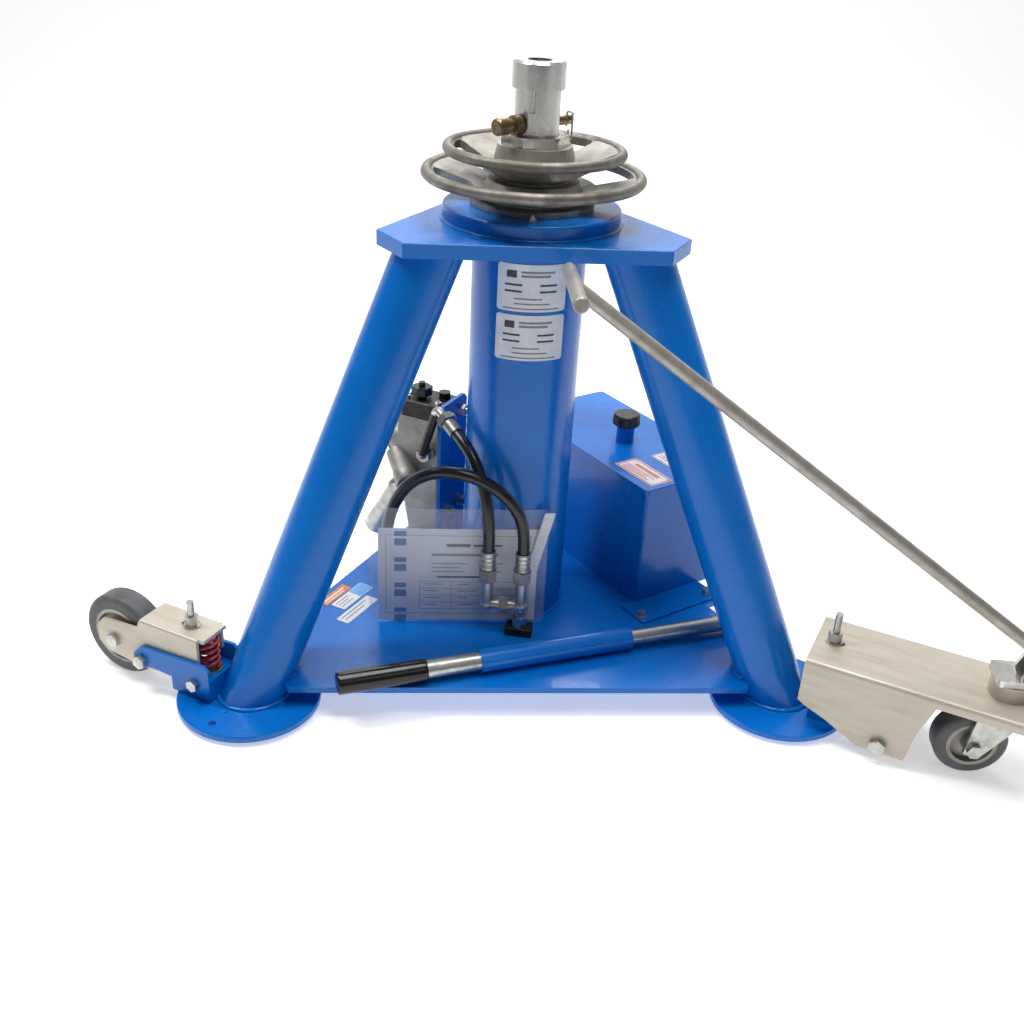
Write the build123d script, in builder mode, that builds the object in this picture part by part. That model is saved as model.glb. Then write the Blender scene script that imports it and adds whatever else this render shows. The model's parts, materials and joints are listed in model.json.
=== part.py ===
"""Three-legged hydraulic aircraft jack with retracting casters, pump, reservoir and tow bar.

Frame: origin on the ram axis at the underside of the foot pads, +Z up, +X towards the tow
caster.  The legs stand at 0, 120 and 240 degrees about +Z.  All sizes are in millimetres.
"""
from build123d import *
from math import cos, hypot, pi, radians, sin, tan
import os

# ---------------------------------------------------------------- driving dimensions
FOOT_CIRCLE_R = 447.6        # foot pad centres from the ram axis
PAD_R, PAD_T = 101.6, 9.0
ANCHOR_HOLE_R = 5.5
ANCHOR_OFFSET = 82.0         # anchor hole from its pad's centre
ANCHOR_TURN = 30.0           # anchor hole's direction, from its leg's direction

LEG_R, LEG_WALL = 45.3, 6.0
LEG_FOOT_R, LEG_TOP_R = 440.3, 156.7     # leg axis from the ram axis, at its lower and upper end

TOP_PLATE_Z, TOP_PLATE_T = 624.7, 19.7
TOP_SIDE, TOP_CORNER = 140.6, 219.6      # from the axis to a long side and to a cut corner
BASE_Z, BASE_T = 30.5, 9.5
BASE_SIDE, BASE_CORNER = 254.0, 412.0
BASE_TOP = BASE_Z + BASE_T
TANK_EAR = (-238.0, 186.0, 292.0)        # base plate's ear under the tank: first, last, depth

COLUMN_R, CYLINDER_R = 79.4, 68.0
COLLAR_R, COLLAR_T = 122.2, 20.2
COLLAR_TOP = TOP_PLATE_Z + TOP_PLATE_T + COLLAR_T
RAM_R, RAM_BORE_R, RAM_TOP = 48.0, 40.0, 700.0
INNER_RAM_R, INNER_RAM_BORE_R, INNER_RAM_TOP = 39.7, 30.5, 744.0
EXTENSION_R, EXTENSION_BORE_R = 30.0, 20.0
EXTENSION_FOOT, EXTENSION_TOP = 140.0, 815.0
RAM_HEX_AF, RAM_HEX_T = 80.0, 13.0
SLIDING_GAP = 0.3
RUNNING_GAP = 0.05

LOWER_WHEEL_R, LOWER_RIM_R, LOWER_RIM_Z = 144.5, 7.5, 704.5
UPPER_WHEEL_R, UPPER_RIM_R, UPPER_RIM_Z = 116.5, 7.0, 736.5

LOCK_PIN_R, LOCK_PIN_Z, LOCK_PIN_ANGLE = 6.35, 770.5, -112.0

PUMP_PLATE_X, PUMP_PLATE_T = -118.0, 6.0
PUMP_PLATE_HALF, PUMP_PLATE_TOP = 40.0, 350.0
PUMP_BOLT_Y, PUMP_BOLT_Z = 20.0, (170.0, 328.0)
PUMP_TOP = 318.0
PUMP_OUTLET = (-140.0, -36.0, 268.0)
LEVER_PIVOT = (-203.0, 186.0)            # X and Z of the pump lever's pin
LEVER_SLOPE = -60.0                      # the lever socket at rest, below the horizontal

TANK_NEAR, TANK_FAR, TANK_INNER, TANK_OUTER = 127.0, -220.0, 155.0, 332.0
TANK_TOP, TANK_WALL = 242.0, 3.0
LID_LIP = 10.0
NECK_AT, NECK_R, NECK_H = (-33.0, 237.0), 14.5, 29.0
CAP_R, CAP_H = 22.5, 20.0

HANDLE_START, HANDLE_ANGLE, HANDLE_Z = (-91.0, -361.0), 45.0, 57.0
GRIP_LENGTH, SLEEVE_FROM, SLEEVE_TO, HANDLE_LENGTH = 129.0, 208.0, 444.0, 622.0

TEE_AT, ELBOW_AT = (62.0, -96.0), (15.0, -117.0)
BRANCH_Z, FERRULE_TOP_Z, PORT_BLOCK_H = 88.0, 181.0, 13.0
HOSE_R, FERRULE_R = 9.0, 11.0
PRESSURE_ROUTE = [
    (15.0, -117.0, 181.0), (15.0, -117.0, 210.0), (11.0, -116.0, 240.0), (3.0, -112.0, 269.0),
    (-10.0, -106.0, 295.0), (-28.0, -97.0, 316.0), (-50.0, -85.0, 329.0), (-65.0, -77.0, 335.0),
]
RETURN_ROUTE = [
    (62.0, -96.0, 181.0), (62.0, -96.0, 214.0), (54.0, -101.0, 246.0), (36.0, -110.0, 273.0),
    (11.0, -121.0, 293.0), (-19.0, -133.0, 304.0), (-51.0, -141.0, 304.0), (-83.0, -145.0, 291.0),
    (-110.0, -147.0, 267.0), (-128.0, -149.0, 236.0), (-138.0, -150.0, 203.0),
    (-144.0, -147.0, 170.0), (-149.0, -127.0, 136.0), (-152.0, -92.0, 116.0), (-152.0, -72.0, 116.0),
]
END_FITTINGS = {"column": (30.0, 20.0), "pump": (24.0, 12.0)}     # ferrule and nut length

CASTER_Y = 406.0                          # the rigid casters' centre planes, left and right
FLOOR_Z = -6.0                            # the floor, when the jack stands on its casters
ARM_PIVOT = (-372.0, 43.0)
ARM_TOP, ARM_HALF, ARM_WALL = 108.0, 28.5, 5.0
ARM_INNER_X, ARM_WEB_OUTER_X = -272.0, -374.0
WHEEL_AT, WHEEL_R, WHEEL_HALF = (-426.0, 57.5), 63.5, 19.0
BRACKET_GAP, BRACKET_WALL, BRACKET_TOP = 30.0, 5.0, 67.0
SPRING_X, SPRING_R, SPRING_WIRE_R, SPRING_TURNS = -276.0, 13.5, 2.4, 5.0
SPRING_SEAT_Z = 47.0
STUD_X, STUD_R, STUD_TOP, STUD_SEAT_Z = -302.0, 5.0, 148.0, 32.0
BLOCK_BOLT = (-278.0, 36.0)               # X and Z of the bolt through each rigid caster's mounting block

TOW_PIVOT = (603.0, 21.0)
TOW_ARM_TOP, TOW_ARM_HALF, TOW_ARM_WALL = 123.0, 65.0, 5.0
TOW_ARM_X = (485.0, 800.0)
TOW_STUD_X, TOW_SPRING_X, TOW_SEAT_Z = 510.0, 538.0, 62.0
KINGPIN_X, KINGPIN_R = 744.0, 12.0
TRAIL, TOW_WHEEL_R, TOW_WHEEL_HALF = 34.0, 50.0, 18.0
TOW_PLANE_ANGLE = 201.8                   # the folded tow bar's direction, seen from above
TOW_HINGE_OFFSET, TOW_HINGE_Z = 30.0, 187.0
TOW_BAR_SLOPE, TOW_BAR_LENGTH, TOW_BAR_R = 34.8, 793.0, 9.0
CROSSBAR_LENGTH, CROSSBAR_TWIST = 230.0, 8.7

LEGS = {"tow": 0.0, "left": 120.0, "right": 240.0}
SIDES = {"left": 1.0, "right": -1.0}
LEG_SLOPE = (LEG_FOOT_R - LEG_TOP_R) / (TOP_PLATE_Z - PAD_T)


# ---------------------------------------------------------------- helpers
def save(piece, name):
    """Label a finished piece and write it as its own STEP file."""
    piece.label = name
    export_step(piece, f"parts/{name}.step")


def polar(radius, angle, z=0.0):
    """A point at a radius and an angle about the ram axis."""
    return Vector(radius * cos(radians(angle)), radius * sin(radians(angle)), z)


def axis_plane(origin, direction, x_dir=None):
    """A plane at origin whose normal is the direction."""
    return Plane(origin=Vector(*origin), x_dir=x_dir, z_dir=Vector(*direction))


def side_plane(y):
    """A plane across Y, with its sketch's axes along +X and +Z."""
    return Plane(origin=(0, y, 0), x_dir=(1, 0, 0), z_dir=(0, -1, 0))


def turned_plane(angle, z=0.0, at=(0.0, 0.0)):
    """A level plane at z whose X axis points at the angle."""
    direction = (cos(radians(angle)), sin(radians(angle)), 0)
    return Plane(origin=(at[0], at[1], z), x_dir=direction, z_dir=(0, 0, 1))


def leg_plane(angle, grow=0.0):
    """A plane across a leg's axis, below the pad, facing up the leg."""
    start = polar(LEG_FOOT_R + grow * LEG_SLOPE, angle, PAD_T - grow)
    end = polar(LEG_TOP_R, angle, TOP_PLATE_Z)
    return Plane(origin=start, z_dir=end - start)


def corner_points(side, corner):
    """The outline of a triangle with cut corners, its sides facing 60, 180 and 300 degrees."""
    half = (side - corner * cos(radians(60))) / sin(radians(60))
    points = []
    for angle in LEGS.values():
        for across in (-half, half):
            direction = Vector(-sin(radians(angle)), cos(radians(angle)), 0)
            point = polar(corner, angle) + direction * across
            points.append((point.X, point.Y))
    return points


def ring(name, outer, inner, low, high):
    """A plain tube about the ram axis."""
    with BuildPart() as tube:
        with BuildSketch(Plane.XY.offset(low)):
            Circle(outer)
            if inner:
                Circle(inner, mode=Mode.SUBTRACT)
        extrude(amount=high - low)
    save(tube.part, name)


# ---------------------------------------------------------------- welded frame
def make_foot_pads():
    """Three round pads, each with one anchor hole near its rim."""
    with BuildPart() as pads:
        for angle in LEGS.values():
            with BuildSketch(turned_plane(angle, 0.0, tuple(polar(FOOT_CIRCLE_R, angle))[:2])):
                Circle(PAD_R)
                with Locations(tuple(polar(ANCHOR_OFFSET, ANCHOR_TURN))[:2]):
                    Circle(ANCHOR_HOLE_R, mode=Mode.SUBTRACT)
            extrude(amount=PAD_T)
        top_edges = pads.edges().filter_by(GeomType.CIRCLE).group_by(Axis.Z)[-1]
        chamfer(top_edges.filter_by(lambda edge: edge.radius > PAD_R / 2), 1.2)
    save(pads.part, "foot_pads")


def make_legs():
    """Three leg tubes, trimmed level at the pads and at the top plate."""
    length = hypot(LEG_FOOT_R - LEG_TOP_R, TOP_PLATE_Z - PAD_T)
    with BuildPart() as legs:
        for angle in LEGS.values():
            with BuildSketch(leg_plane(angle, 60.0)):
                Circle(LEG_R)
                Circle(LEG_R - LEG_WALL, mode=Mode.SUBTRACT)
            extrude(amount=length + 130.0)
        split(bisect_by=Plane.XY.offset(PAD_T), keep=Keep.TOP)
        split(bisect_by=Plane.XY.offset(TOP_PLATE_Z), keep=Keep.BOTTOM)
    save(legs.part, "legs")


def make_top_plate():
    """The thick triangular head plate, bored for the cylinder's guide."""
    with BuildPart() as plate:
        with BuildSketch(Plane.XY.offset(TOP_PLATE_Z)):
            Polygon(*corner_points(TOP_SIDE, TOP_CORNER), align=None)
            Circle(CYLINDER_R, mode=Mode.SUBTRACT)
        extrude(amount=TOP_PLATE_T)
        fillet(plate.edges().filter_by(Axis.Z).filter_by(lambda edge: edge.length < 50), 3.0)
        outline = plate.faces().sort_by(Axis.Z)[-1].outer_wire().edges()
        chamfer(outline, 1.0)
    save(plate.part, "top_plate")


def make_base_plate():
    """The lower triangular plate, coped round the legs, with an ear under the tank."""
    near, far, depth = TANK_EAR[1], TANK_EAR[0], TANK_EAR[2]
    with BuildPart() as plate:
        with BuildSketch(Plane.XY.offset(BASE_Z)):
            Polygon(*corner_points(BASE_SIDE, BASE_CORNER), align=None)
        extrude(amount=BASE_T)
        with BuildSketch(turned_plane(-30.0, BASE_Z)):
            with Locations(((near + far) / 2, depth / 2 + 70)):
                RectangleRounded(near - far, depth - 140, 8)
        extrude(amount=BASE_T)
        for angle in LEGS.values():
            with BuildSketch(leg_plane(angle, 60.0)):
                Circle(LEG_R + 0.05)
            extrude(amount=200.0, mode=Mode.SUBTRACT)
    save(plate.part, "base_plate")


def make_collar_ring():
    """The round collar that the lower lock wheel seats on."""
    with BuildPart() as collar:
        with BuildSketch(Plane.XY.offset(TOP_PLATE_Z + TOP_PLATE_T)):
            Circle(COLLAR_R)
            Circle(CYLINDER_R, mode=Mode.SUBTRACT)
        extrude(amount=COLLAR_T)
        outer = collar.edges().filter_by(GeomType.CIRCLE).group_by(Axis.Z)[-1]
        fillet(outer.sort_by(SortBy.RADIUS)[-1], 3.0)
        with BuildSketch(turned_plane(-64.0, COLLAR_TOP)):
            with Locations((COLLAR_R - 22.0, 0)):
                Circle(5.0)
        extrude(amount=-9.0, mode=Mode.SUBTRACT)
    save(collar.part, "collar_ring")


# ---------------------------------------------------------------- ram and lock wheels
def make_column_tube():
    """The hydraulic cylinder with its welded end plug, and the ram's guide bush."""
    with BuildPart() as cylinder:
        with BuildSketch(Plane.XY.offset(BASE_TOP)):
            Circle(COLUMN_R)
        extrude(amount=TOP_PLATE_Z - BASE_TOP)
        with BuildSketch(Plane.XY.offset(BASE_TOP + 22.0)):
            Circle(CYLINDER_R)
        extrude(amount=TOP_PLATE_Z, mode=Mode.SUBTRACT)
    save(cylinder.part, "column_tube")
    ring("ram_guide", CYLINDER_R, RAM_R + RUNNING_GAP, TOP_PLATE_Z, COLLAR_TOP)


def make_piston():
    """The ram's piston, with a groove for its seal."""
    low = BASE_TOP + 26.0
    with BuildPart() as piston:
        with BuildSketch(Plane.XY.offset(low)):
            Circle(CYLINDER_R - SLIDING_GAP)
        extrude(amount=30.0)
        with BuildSketch(Plane.XY.offset(low + 11.0)):
            Circle(CYLINDER_R + 1.0)
            Circle(CYLINDER_R - 6.0, mode=Mode.SUBTRACT)
        extrude(amount=8.0, mode=Mode.SUBTRACT)
    save(piston.part, "ram_piston")
    ring("piston_seal", CYLINDER_R - RUNNING_GAP, CYLINDER_R - 6.0, low + 11.0, low + 19.0)
    ring("ram_tube", RAM_R, RAM_BORE_R, low + 30.0, RAM_TOP)
    return low + 30.0


def make_inner_ram(low):
    """The second stage: a closed tube that slides inside the ram, with a hexagon on top."""
    with BuildPart() as inner:
        with BuildSketch(Plane.XY.offset(low + 4.0)):
            Circle(INNER_RAM_R)
        extrude(amount=INNER_RAM_TOP - low - 4.0)
        with BuildSketch(Plane.XY.offset(low + 26.0)):
            Circle(INNER_RAM_BORE_R)
        extrude(amount=INNER_RAM_TOP, mode=Mode.SUBTRACT)
    save(inner.part, "inner_ram")
    with BuildPart() as hexagon:
        with BuildSketch(turned_plane(-86.0, INNER_RAM_TOP)):
            RegularPolygon(RAM_HEX_AF / 2, 6, major_radius=False)
            Circle(INNER_RAM_BORE_R, mode=Mode.SUBTRACT)
        extrude(amount=RAM_HEX_T)
        with BuildSketch(Plane.XY.offset(INNER_RAM_TOP)) as cone:
            Circle(RAM_HEX_AF / 2 + 12.0)
        extrude(cone.sketch, amount=RAM_HEX_T, taper=35, mode=Mode.INTERSECT)
    save(hexagon.part, "ram_hexagon")


def make_extension():
    """The pinned extension tube, with a row of pin holes through it."""
    hole_direction = polar(1.0, LOCK_PIN_ANGLE)
    with BuildPart() as extension:
        with BuildSketch(Plane.XY.offset(EXTENSION_FOOT)):
            Circle(EXTENSION_R)
            Circle(EXTENSION_BORE_R, mode=Mode.SUBTRACT)
        extrude(amount=EXTENSION_TOP - EXTENSION_FOOT)
        for step in range(6):
            height = LOCK_PIN_Z - 50.0 * step
            with BuildSketch(axis_plane((0, 0, height), hole_direction)):
                Circle(LOCK_PIN_R + RUNNING_GAP)
            extrude(amount=EXTENSION_R + 5.0, both=True, mode=Mode.SUBTRACT)
        for angle in (LOCK_PIN_ANGLE + 34.0, LOCK_PIN_ANGLE + 214.0):
            with BuildSketch(turned_plane(angle, LOCK_PIN_Z + 16.0)):
                with Locations((EXTENSION_R + 2.0, 0)):
                    Circle(4.5)
            extrude(amount=EXTENSION_TOP, mode=Mode.SUBTRACT)
    save(extension.part, "extension_tube")


def make_jack_socket():
    """The cup that takes the jacking adapter, spigoted into the extension tube."""
    with BuildPart() as socket:
        with BuildSketch(Plane.XY.offset(EXTENSION_TOP)):
            Circle(EXTENSION_R + 5.0)
        extrude(amount=34.0)
        chamfer(socket.edges().group_by(Axis.Z)[-1], 3.0)
        with BuildSketch(Plane.XY.offset(EXTENSION_TOP - 18.0)):
            Circle(EXTENSION_BORE_R)
        extrude(amount=18.0)
        with BuildSketch(Plane.XY.offset(EXTENSION_TOP + 10.0)):
            Circle(15.9)
        extrude(amount=30.0, mode=Mode.SUBTRACT)
    save(socket.part, "jack_socket")


def make_lock_pin():
    """The stepped bronze pin through the extension, and the wire clip on its far end."""
    out = polar(1.0, LOCK_PIN_ANGLE)
    steps = [(-62.0, LOCK_PIN_R), (EXTENSION_R + 2.0, 12.8), (EXTENSION_R + 12.0, 8.0),
             (EXTENSION_R + 22.0, 11.0)]
    ends = [EXTENSION_R + 2.0, EXTENSION_R + 12.0, EXTENSION_R + 22.0, EXTENSION_R + 42.0]
    with BuildPart() as pin:
        for (start, radius), end in zip(steps, ends):
            with BuildSketch(axis_plane(out * start + Vector(0, 0, LOCK_PIN_Z), out)):
                Circle(radius)
            extrude(amount=end - start)
        knob_rim = pin.edges().filter_by(GeomType.CIRCLE).sort_by(Axis(origin=(0, 0, 0), direction=out))[-1]
        fillet(knob_rim, 4.0)
        with BuildSketch(turned_plane(LOCK_PIN_ANGLE, LOCK_PIN_Z)):
            with Locations((-55.0, 0)):
                Circle(1.6)
        extrude(amount=10.0, both=True, mode=Mode.SUBTRACT)
    save(pin.part, "lock_pin")
    clip_plane = Plane(origin=out * -55.0 + Vector(0, 0, LOCK_PIN_Z), x_dir=(-out.Y, out.X, 0), z_dir=out)
    with BuildPart() as clip:
        with BuildLine(clip_plane) as path:
            points = [(0, -8.5), (0, 11.0), (11.0, 11.0), (11.0, -24.0), (4.0, -24.0), (4.0, -12.0)]
            FilletPolyline(*points, radius=3.0)
        with BuildSketch(Plane(origin=path.line @ 0, z_dir=path.line % 0)):
            Circle(1.25)
        sweep()
    save(clip.part, "lock_pin_clip")


def make_lock_wheel(name, bore, rim, web, hub, windows, phase):
    """A dished cast handwheel: round rim, coned web with windows, and a hub on its thread."""
    rim_radius, rim_section, rim_z = rim
    with BuildPart() as wheel:
        with BuildSketch(Plane.XZ):
            with Locations((rim_radius, rim_z)):
                Circle(rim_section)
            Polygon(*web, align=None)
            Polygon(*hub, align=None)
        revolve(axis=Axis.Z)
        count, window_in, window_out, width = windows
        low, high = min(z for _, z in web), max(z for _, z in web)
        with BuildSketch(Plane.XY.offset(low - 10.0)) as window_shapes:
            for index in range(count):
                middle = phase + (index + 0.5) * 360.0 / count
                corners = [polar(window_in, middle - width * 0.36), polar(window_in, middle + width * 0.36),
                           polar(window_out, middle + width * 0.5), polar(window_out, middle - width * 0.5)]
                outer_mid, inner_mid = polar(window_out, middle), polar(window_in, middle)
                with BuildLine():
                    ThreePointArc(corners[0], inner_mid, corners[1])
                    Line(corners[1], corners[2])
                    ThreePointArc(corners[2], outer_mid, corners[3])
                    Line(corners[3], corners[0])
                make_face()
            fillet(window_shapes.vertices(), 7.0)
        extrude(amount=high - low + 20.0, mode=Mode.SUBTRACT)
        with BuildSketch(Plane.XY.offset(low - 30.0)):
            Circle(bore)
        extrude(amount=120.0, mode=Mode.SUBTRACT)
    save(wheel.part, name)


def make_lock_wheels():
    """The lower wheel locks the ram, the upper one locks the second stage."""
    seat = COLLAR_TOP
    web = [(58, 677), (70, 676), (141, 698), (148, 703), (143, 709), (66, 687), (58, 687)]
    hub = [(40, seat + 0.3), (84, seat + 0.3), (85, seat + 7), (72, seat + 10), (62, 698), (40, 698)]
    make_lock_wheel("lower_lock_wheel", RAM_R + RUNNING_GAP, (LOWER_WHEEL_R, LOWER_RIM_R, LOWER_RIM_Z),
                    web, hub, (4, 84.0, 135.0, 58.0), 7.0)
    web = [(50, 706), (60, 706), (113, 730), (118, 735), (114, 741), (56, 716), (50, 716)]
    hub = [(35, 702.5), (52, 702.5), (56, 708), (54, 728), (50, 743.6), (35, 743.6)]
    make_lock_wheel("upper_lock_wheel", INNER_RAM_R + RUNNING_GAP, (UPPER_WHEEL_R, UPPER_RIM_R, UPPER_RIM_Z),
                    web, hub, (3, 69.0, 108.5, 74.0), 42.0)


# ---------------------------------------------------------------- hand pump
def make_pump_plate():
    """The upright bracket that carries the pump, standing on a welded foot."""
    front, toe = PUMP_PLATE_X + PUMP_PLATE_T, PUMP_PLATE_X + 34
    with BuildPart() as plate:
        with BuildSketch(side_plane(0)):
            with BuildLine():
                Polyline((PUMP_PLATE_X, BASE_TOP), (toe, BASE_TOP), (toe, BASE_TOP + 6),
                         (front, BASE_TOP + 6), (front, PUMP_PLATE_TOP), (PUMP_PLATE_X, PUMP_PLATE_TOP),
                         close=True)
            make_face()
        extrude(amount=PUMP_PLATE_HALF, both=True)
        corners = plate.edges().filter_by(Axis.X).group_by(Axis.Z)[-1]
        chamfer(corners, 8.0)
        for height in PUMP_BOLT_Z:
            for side in (-1, 1):
                with BuildSketch(axis_plane((PUMP_PLATE_X, side * PUMP_BOLT_Y, height), (1, 0, 0))):
                    Circle(5.0)
                extrude(amount=PUMP_PLATE_T, mode=Mode.SUBTRACT)
    save(plate.part, "pump_mount_plate")


def make_pump_fasteners():
    """Four screws through the pump's plate with their nuts, and the lever's pivot pin."""
    start = PUMP_PLATE_X - 12.0
    with BuildPart() as fasteners:
        for height in PUMP_BOLT_Z:
            for side in (-1, 1):
                at = (start, side * PUMP_BOLT_Y, height)
                with BuildSketch(axis_plane(at, (1, 0, 0))):
                    Circle(5.0)
                extrude(amount=12.0 + PUMP_PLATE_T + 13.0)
                with BuildSketch(axis_plane((PUMP_PLATE_X + PUMP_PLATE_T, at[1], height), (1, 0, 0))):
                    Circle(9.5)
                extrude(amount=1.6)
                with BuildSketch(axis_plane((PUMP_PLATE_X + PUMP_PLATE_T + 1.6, at[1], height), (1, 0, 0))):
                    RegularPolygon(8.5, 6, major_radius=False)
                extrude(amount=8.0)
        with BuildSketch(axis_plane((LEVER_PIVOT[0], -28.0, LEVER_PIVOT[1]), (0, 1, 0))):
            Circle(6.0)
        extrude(amount=56.0)
        with BuildSketch(axis_plane((LEVER_PIVOT[0], -28.0, LEVER_PIVOT[1]), (0, -1, 0))):
            Circle(9.0)
        extrude(amount=4.0)
    save(fasteners.part, "pump_fasteners")


def make_pump_body():
    """The cast pump: a bored block with lever lugs, an outlet boss and a return boss."""
    back = PUMP_PLATE_X
    with BuildPart() as body:
        with BuildSketch(side_plane(0)):
            with BuildLine():
                Polyline((back, 100), (back - 62, 100), (back - 62, 150), (back - 72, 200), (back - 80, 250),
                         (back - 76, PUMP_TOP), (back, PUMP_TOP), close=True)
            make_face()
        extrude(amount=29.0, both=True)
        fillet(body.edges().filter_by(Axis.Z), 9.0)
        with BuildSketch(axis_plane((back - 52, 0, 266), (-1, 0, 0))):
            Circle(22.0)
        extrude(amount=47.0)
        for side in (-1, 1):
            with BuildSketch(side_plane(side * 19.0)):
                with BuildLine():
                    Polyline((back - 50, 160), LEVER_PIVOT, (back - 50, 212), close=True)
                make_face()
                with Locations(LEVER_PIVOT):
                    Circle(14.0)
            extrude(amount=4.5, both=True)
        with BuildSketch(axis_plane((PUMP_OUTLET[0], -20, PUMP_OUTLET[2]), (0, -1, 0))):
            Circle(13.0)
        extrude(amount=-20 - PUMP_OUTLET[1])
        with BuildSketch(axis_plane((-152.0, -20, 116), (0, -1, 0))):
            Circle(13.0)
        extrude(amount=16.0)
        with BuildSketch(Plane.XY.offset(96.0)):
            with Locations((back - 36, 0)):
                Circle(11.0 + SLIDING_GAP)
        extrude(amount=150.0, mode=Mode.SUBTRACT)
        with BuildSketch(side_plane(0)):
            with Locations(LEVER_PIVOT):
                Circle(21.0)
        extrude(amount=14.3, both=True, mode=Mode.SUBTRACT)
        with BuildSketch(axis_plane((LEVER_PIVOT[0], -30.0, LEVER_PIVOT[1]), (0, 1, 0))):
            Circle(6.0)
        extrude(amount=60.0, mode=Mode.SUBTRACT)
        for height in PUMP_BOLT_Z:
            if height < PUMP_TOP:
                for side in (-1, 1):
                    with BuildSketch(axis_plane((back, side * PUMP_BOLT_Y, height), (-1, 0, 0))):
                        Circle(5.0)
                    extrude(amount=12.0, mode=Mode.SUBTRACT)
    save(body.part, "pump_body")


def make_valve_block():
    """The black valve block on the pump, with its relief valve stub."""
    back = PUMP_PLATE_X
    with BuildPart() as block:
        with BuildSketch(Plane.XY.offset(PUMP_TOP)):
            with Locations((back - 38, 0)):
                RectangleRounded(72, 56, 5)
        extrude(amount=27.0)
        chamfer(block.edges().group_by(Axis.Z)[-1], 2.0)
        with BuildSketch(Plane.XY.offset(PUMP_TOP + 27.0)):
            with Locations((back - 18, 12)):
                RegularPolygon(10.0, 6)
        extrude(amount=9.0)
        for height in PUMP_BOLT_Z:
            if height > PUMP_TOP:
                for side in (-1, 1):
                    with BuildSketch(axis_plane((back, side * PUMP_BOLT_Y, height), (-1, 0, 0))):
                        Circle(5.0)
                    extrude(amount=12.0, mode=Mode.SUBTRACT)
    save(block.part, "pump_valve_block")
    with BuildPart() as knob:
        with BuildSketch(Plane.XY.offset(PUMP_TOP + 27.3)):
            with Locations((back - 48, -6)):
                Circle(7.0)
        extrude(amount=6.0)
        with BuildSketch(Plane.XY.offset(PUMP_TOP + 33.3)):
            with Locations((back - 48, -6)):
                RegularPolygon(17.0, 8)
        extrude(amount=12.0)
        chamfer(knob.edges().group_by(Axis.Z)[-1], 2.0)
        with BuildSketch(Plane.XY.offset(PUMP_TOP + 45.3)):
            with Locations((back - 48, -6)):
                Circle(5.0)
        extrude(amount=7.0)
    save(knob.part, "release_knob")


def make_pump_lever():
    """The lever socket that takes the loose handle, and the plunger below the pump."""
    direction = Vector(-cos(radians(LEVER_SLOPE)), 0, sin(radians(LEVER_SLOPE)))
    pivot = Vector(LEVER_PIVOT[0], 0, LEVER_PIVOT[1])
    with BuildPart() as lever:
        with BuildSketch(axis_plane((LEVER_PIVOT[0], -13.5, LEVER_PIVOT[1]), (0, 1, 0))):
            Circle(15.0)
        extrude(amount=27.0)
        with BuildSketch(axis_plane(pivot, direction)):
            Circle(18.0)
        extrude(amount=112.0)
        with BuildSketch(axis_plane(pivot + direction * 24.0, direction)):
            Circle(14.3)
        extrude(amount=100.0, mode=Mode.SUBTRACT)
        with BuildSketch(axis_plane((LEVER_PIVOT[0], -30.0, LEVER_PIVOT[1]), (0, 1, 0))):
            Circle(6.0 + RUNNING_GAP)
        extrude(amount=60.0, mode=Mode.SUBTRACT)
        for side in (-1, 1):
            with BuildSketch(side_plane(side * 22.0)):
                with Locations(LEVER_PIVOT):
                    Circle(21.0)
            extrude(amount=8.5, both=True, mode=Mode.SUBTRACT)
    save(lever.part, "lever_socket")
    with BuildPart() as plunger:
        with BuildSketch(Plane.XY.offset(78.0)):
            with Locations((PUMP_PLATE_X - 36, 0)):
                Circle(11.0)
        extrude(amount=110.0)
        with BuildSketch(Plane.XY.offset(66.0)):
            with Locations((PUMP_PLATE_X - 36, 0)):
                Circle(15.0)
        extrude(amount=12.0)
    save(plunger.part, "pump_plunger")


# ---------------------------------------------------------------- reservoir
def tank_plane(z):
    """A level plane with X along the tank's inner wall and Y away from the column."""
    return turned_plane(-30.0, z)


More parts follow.
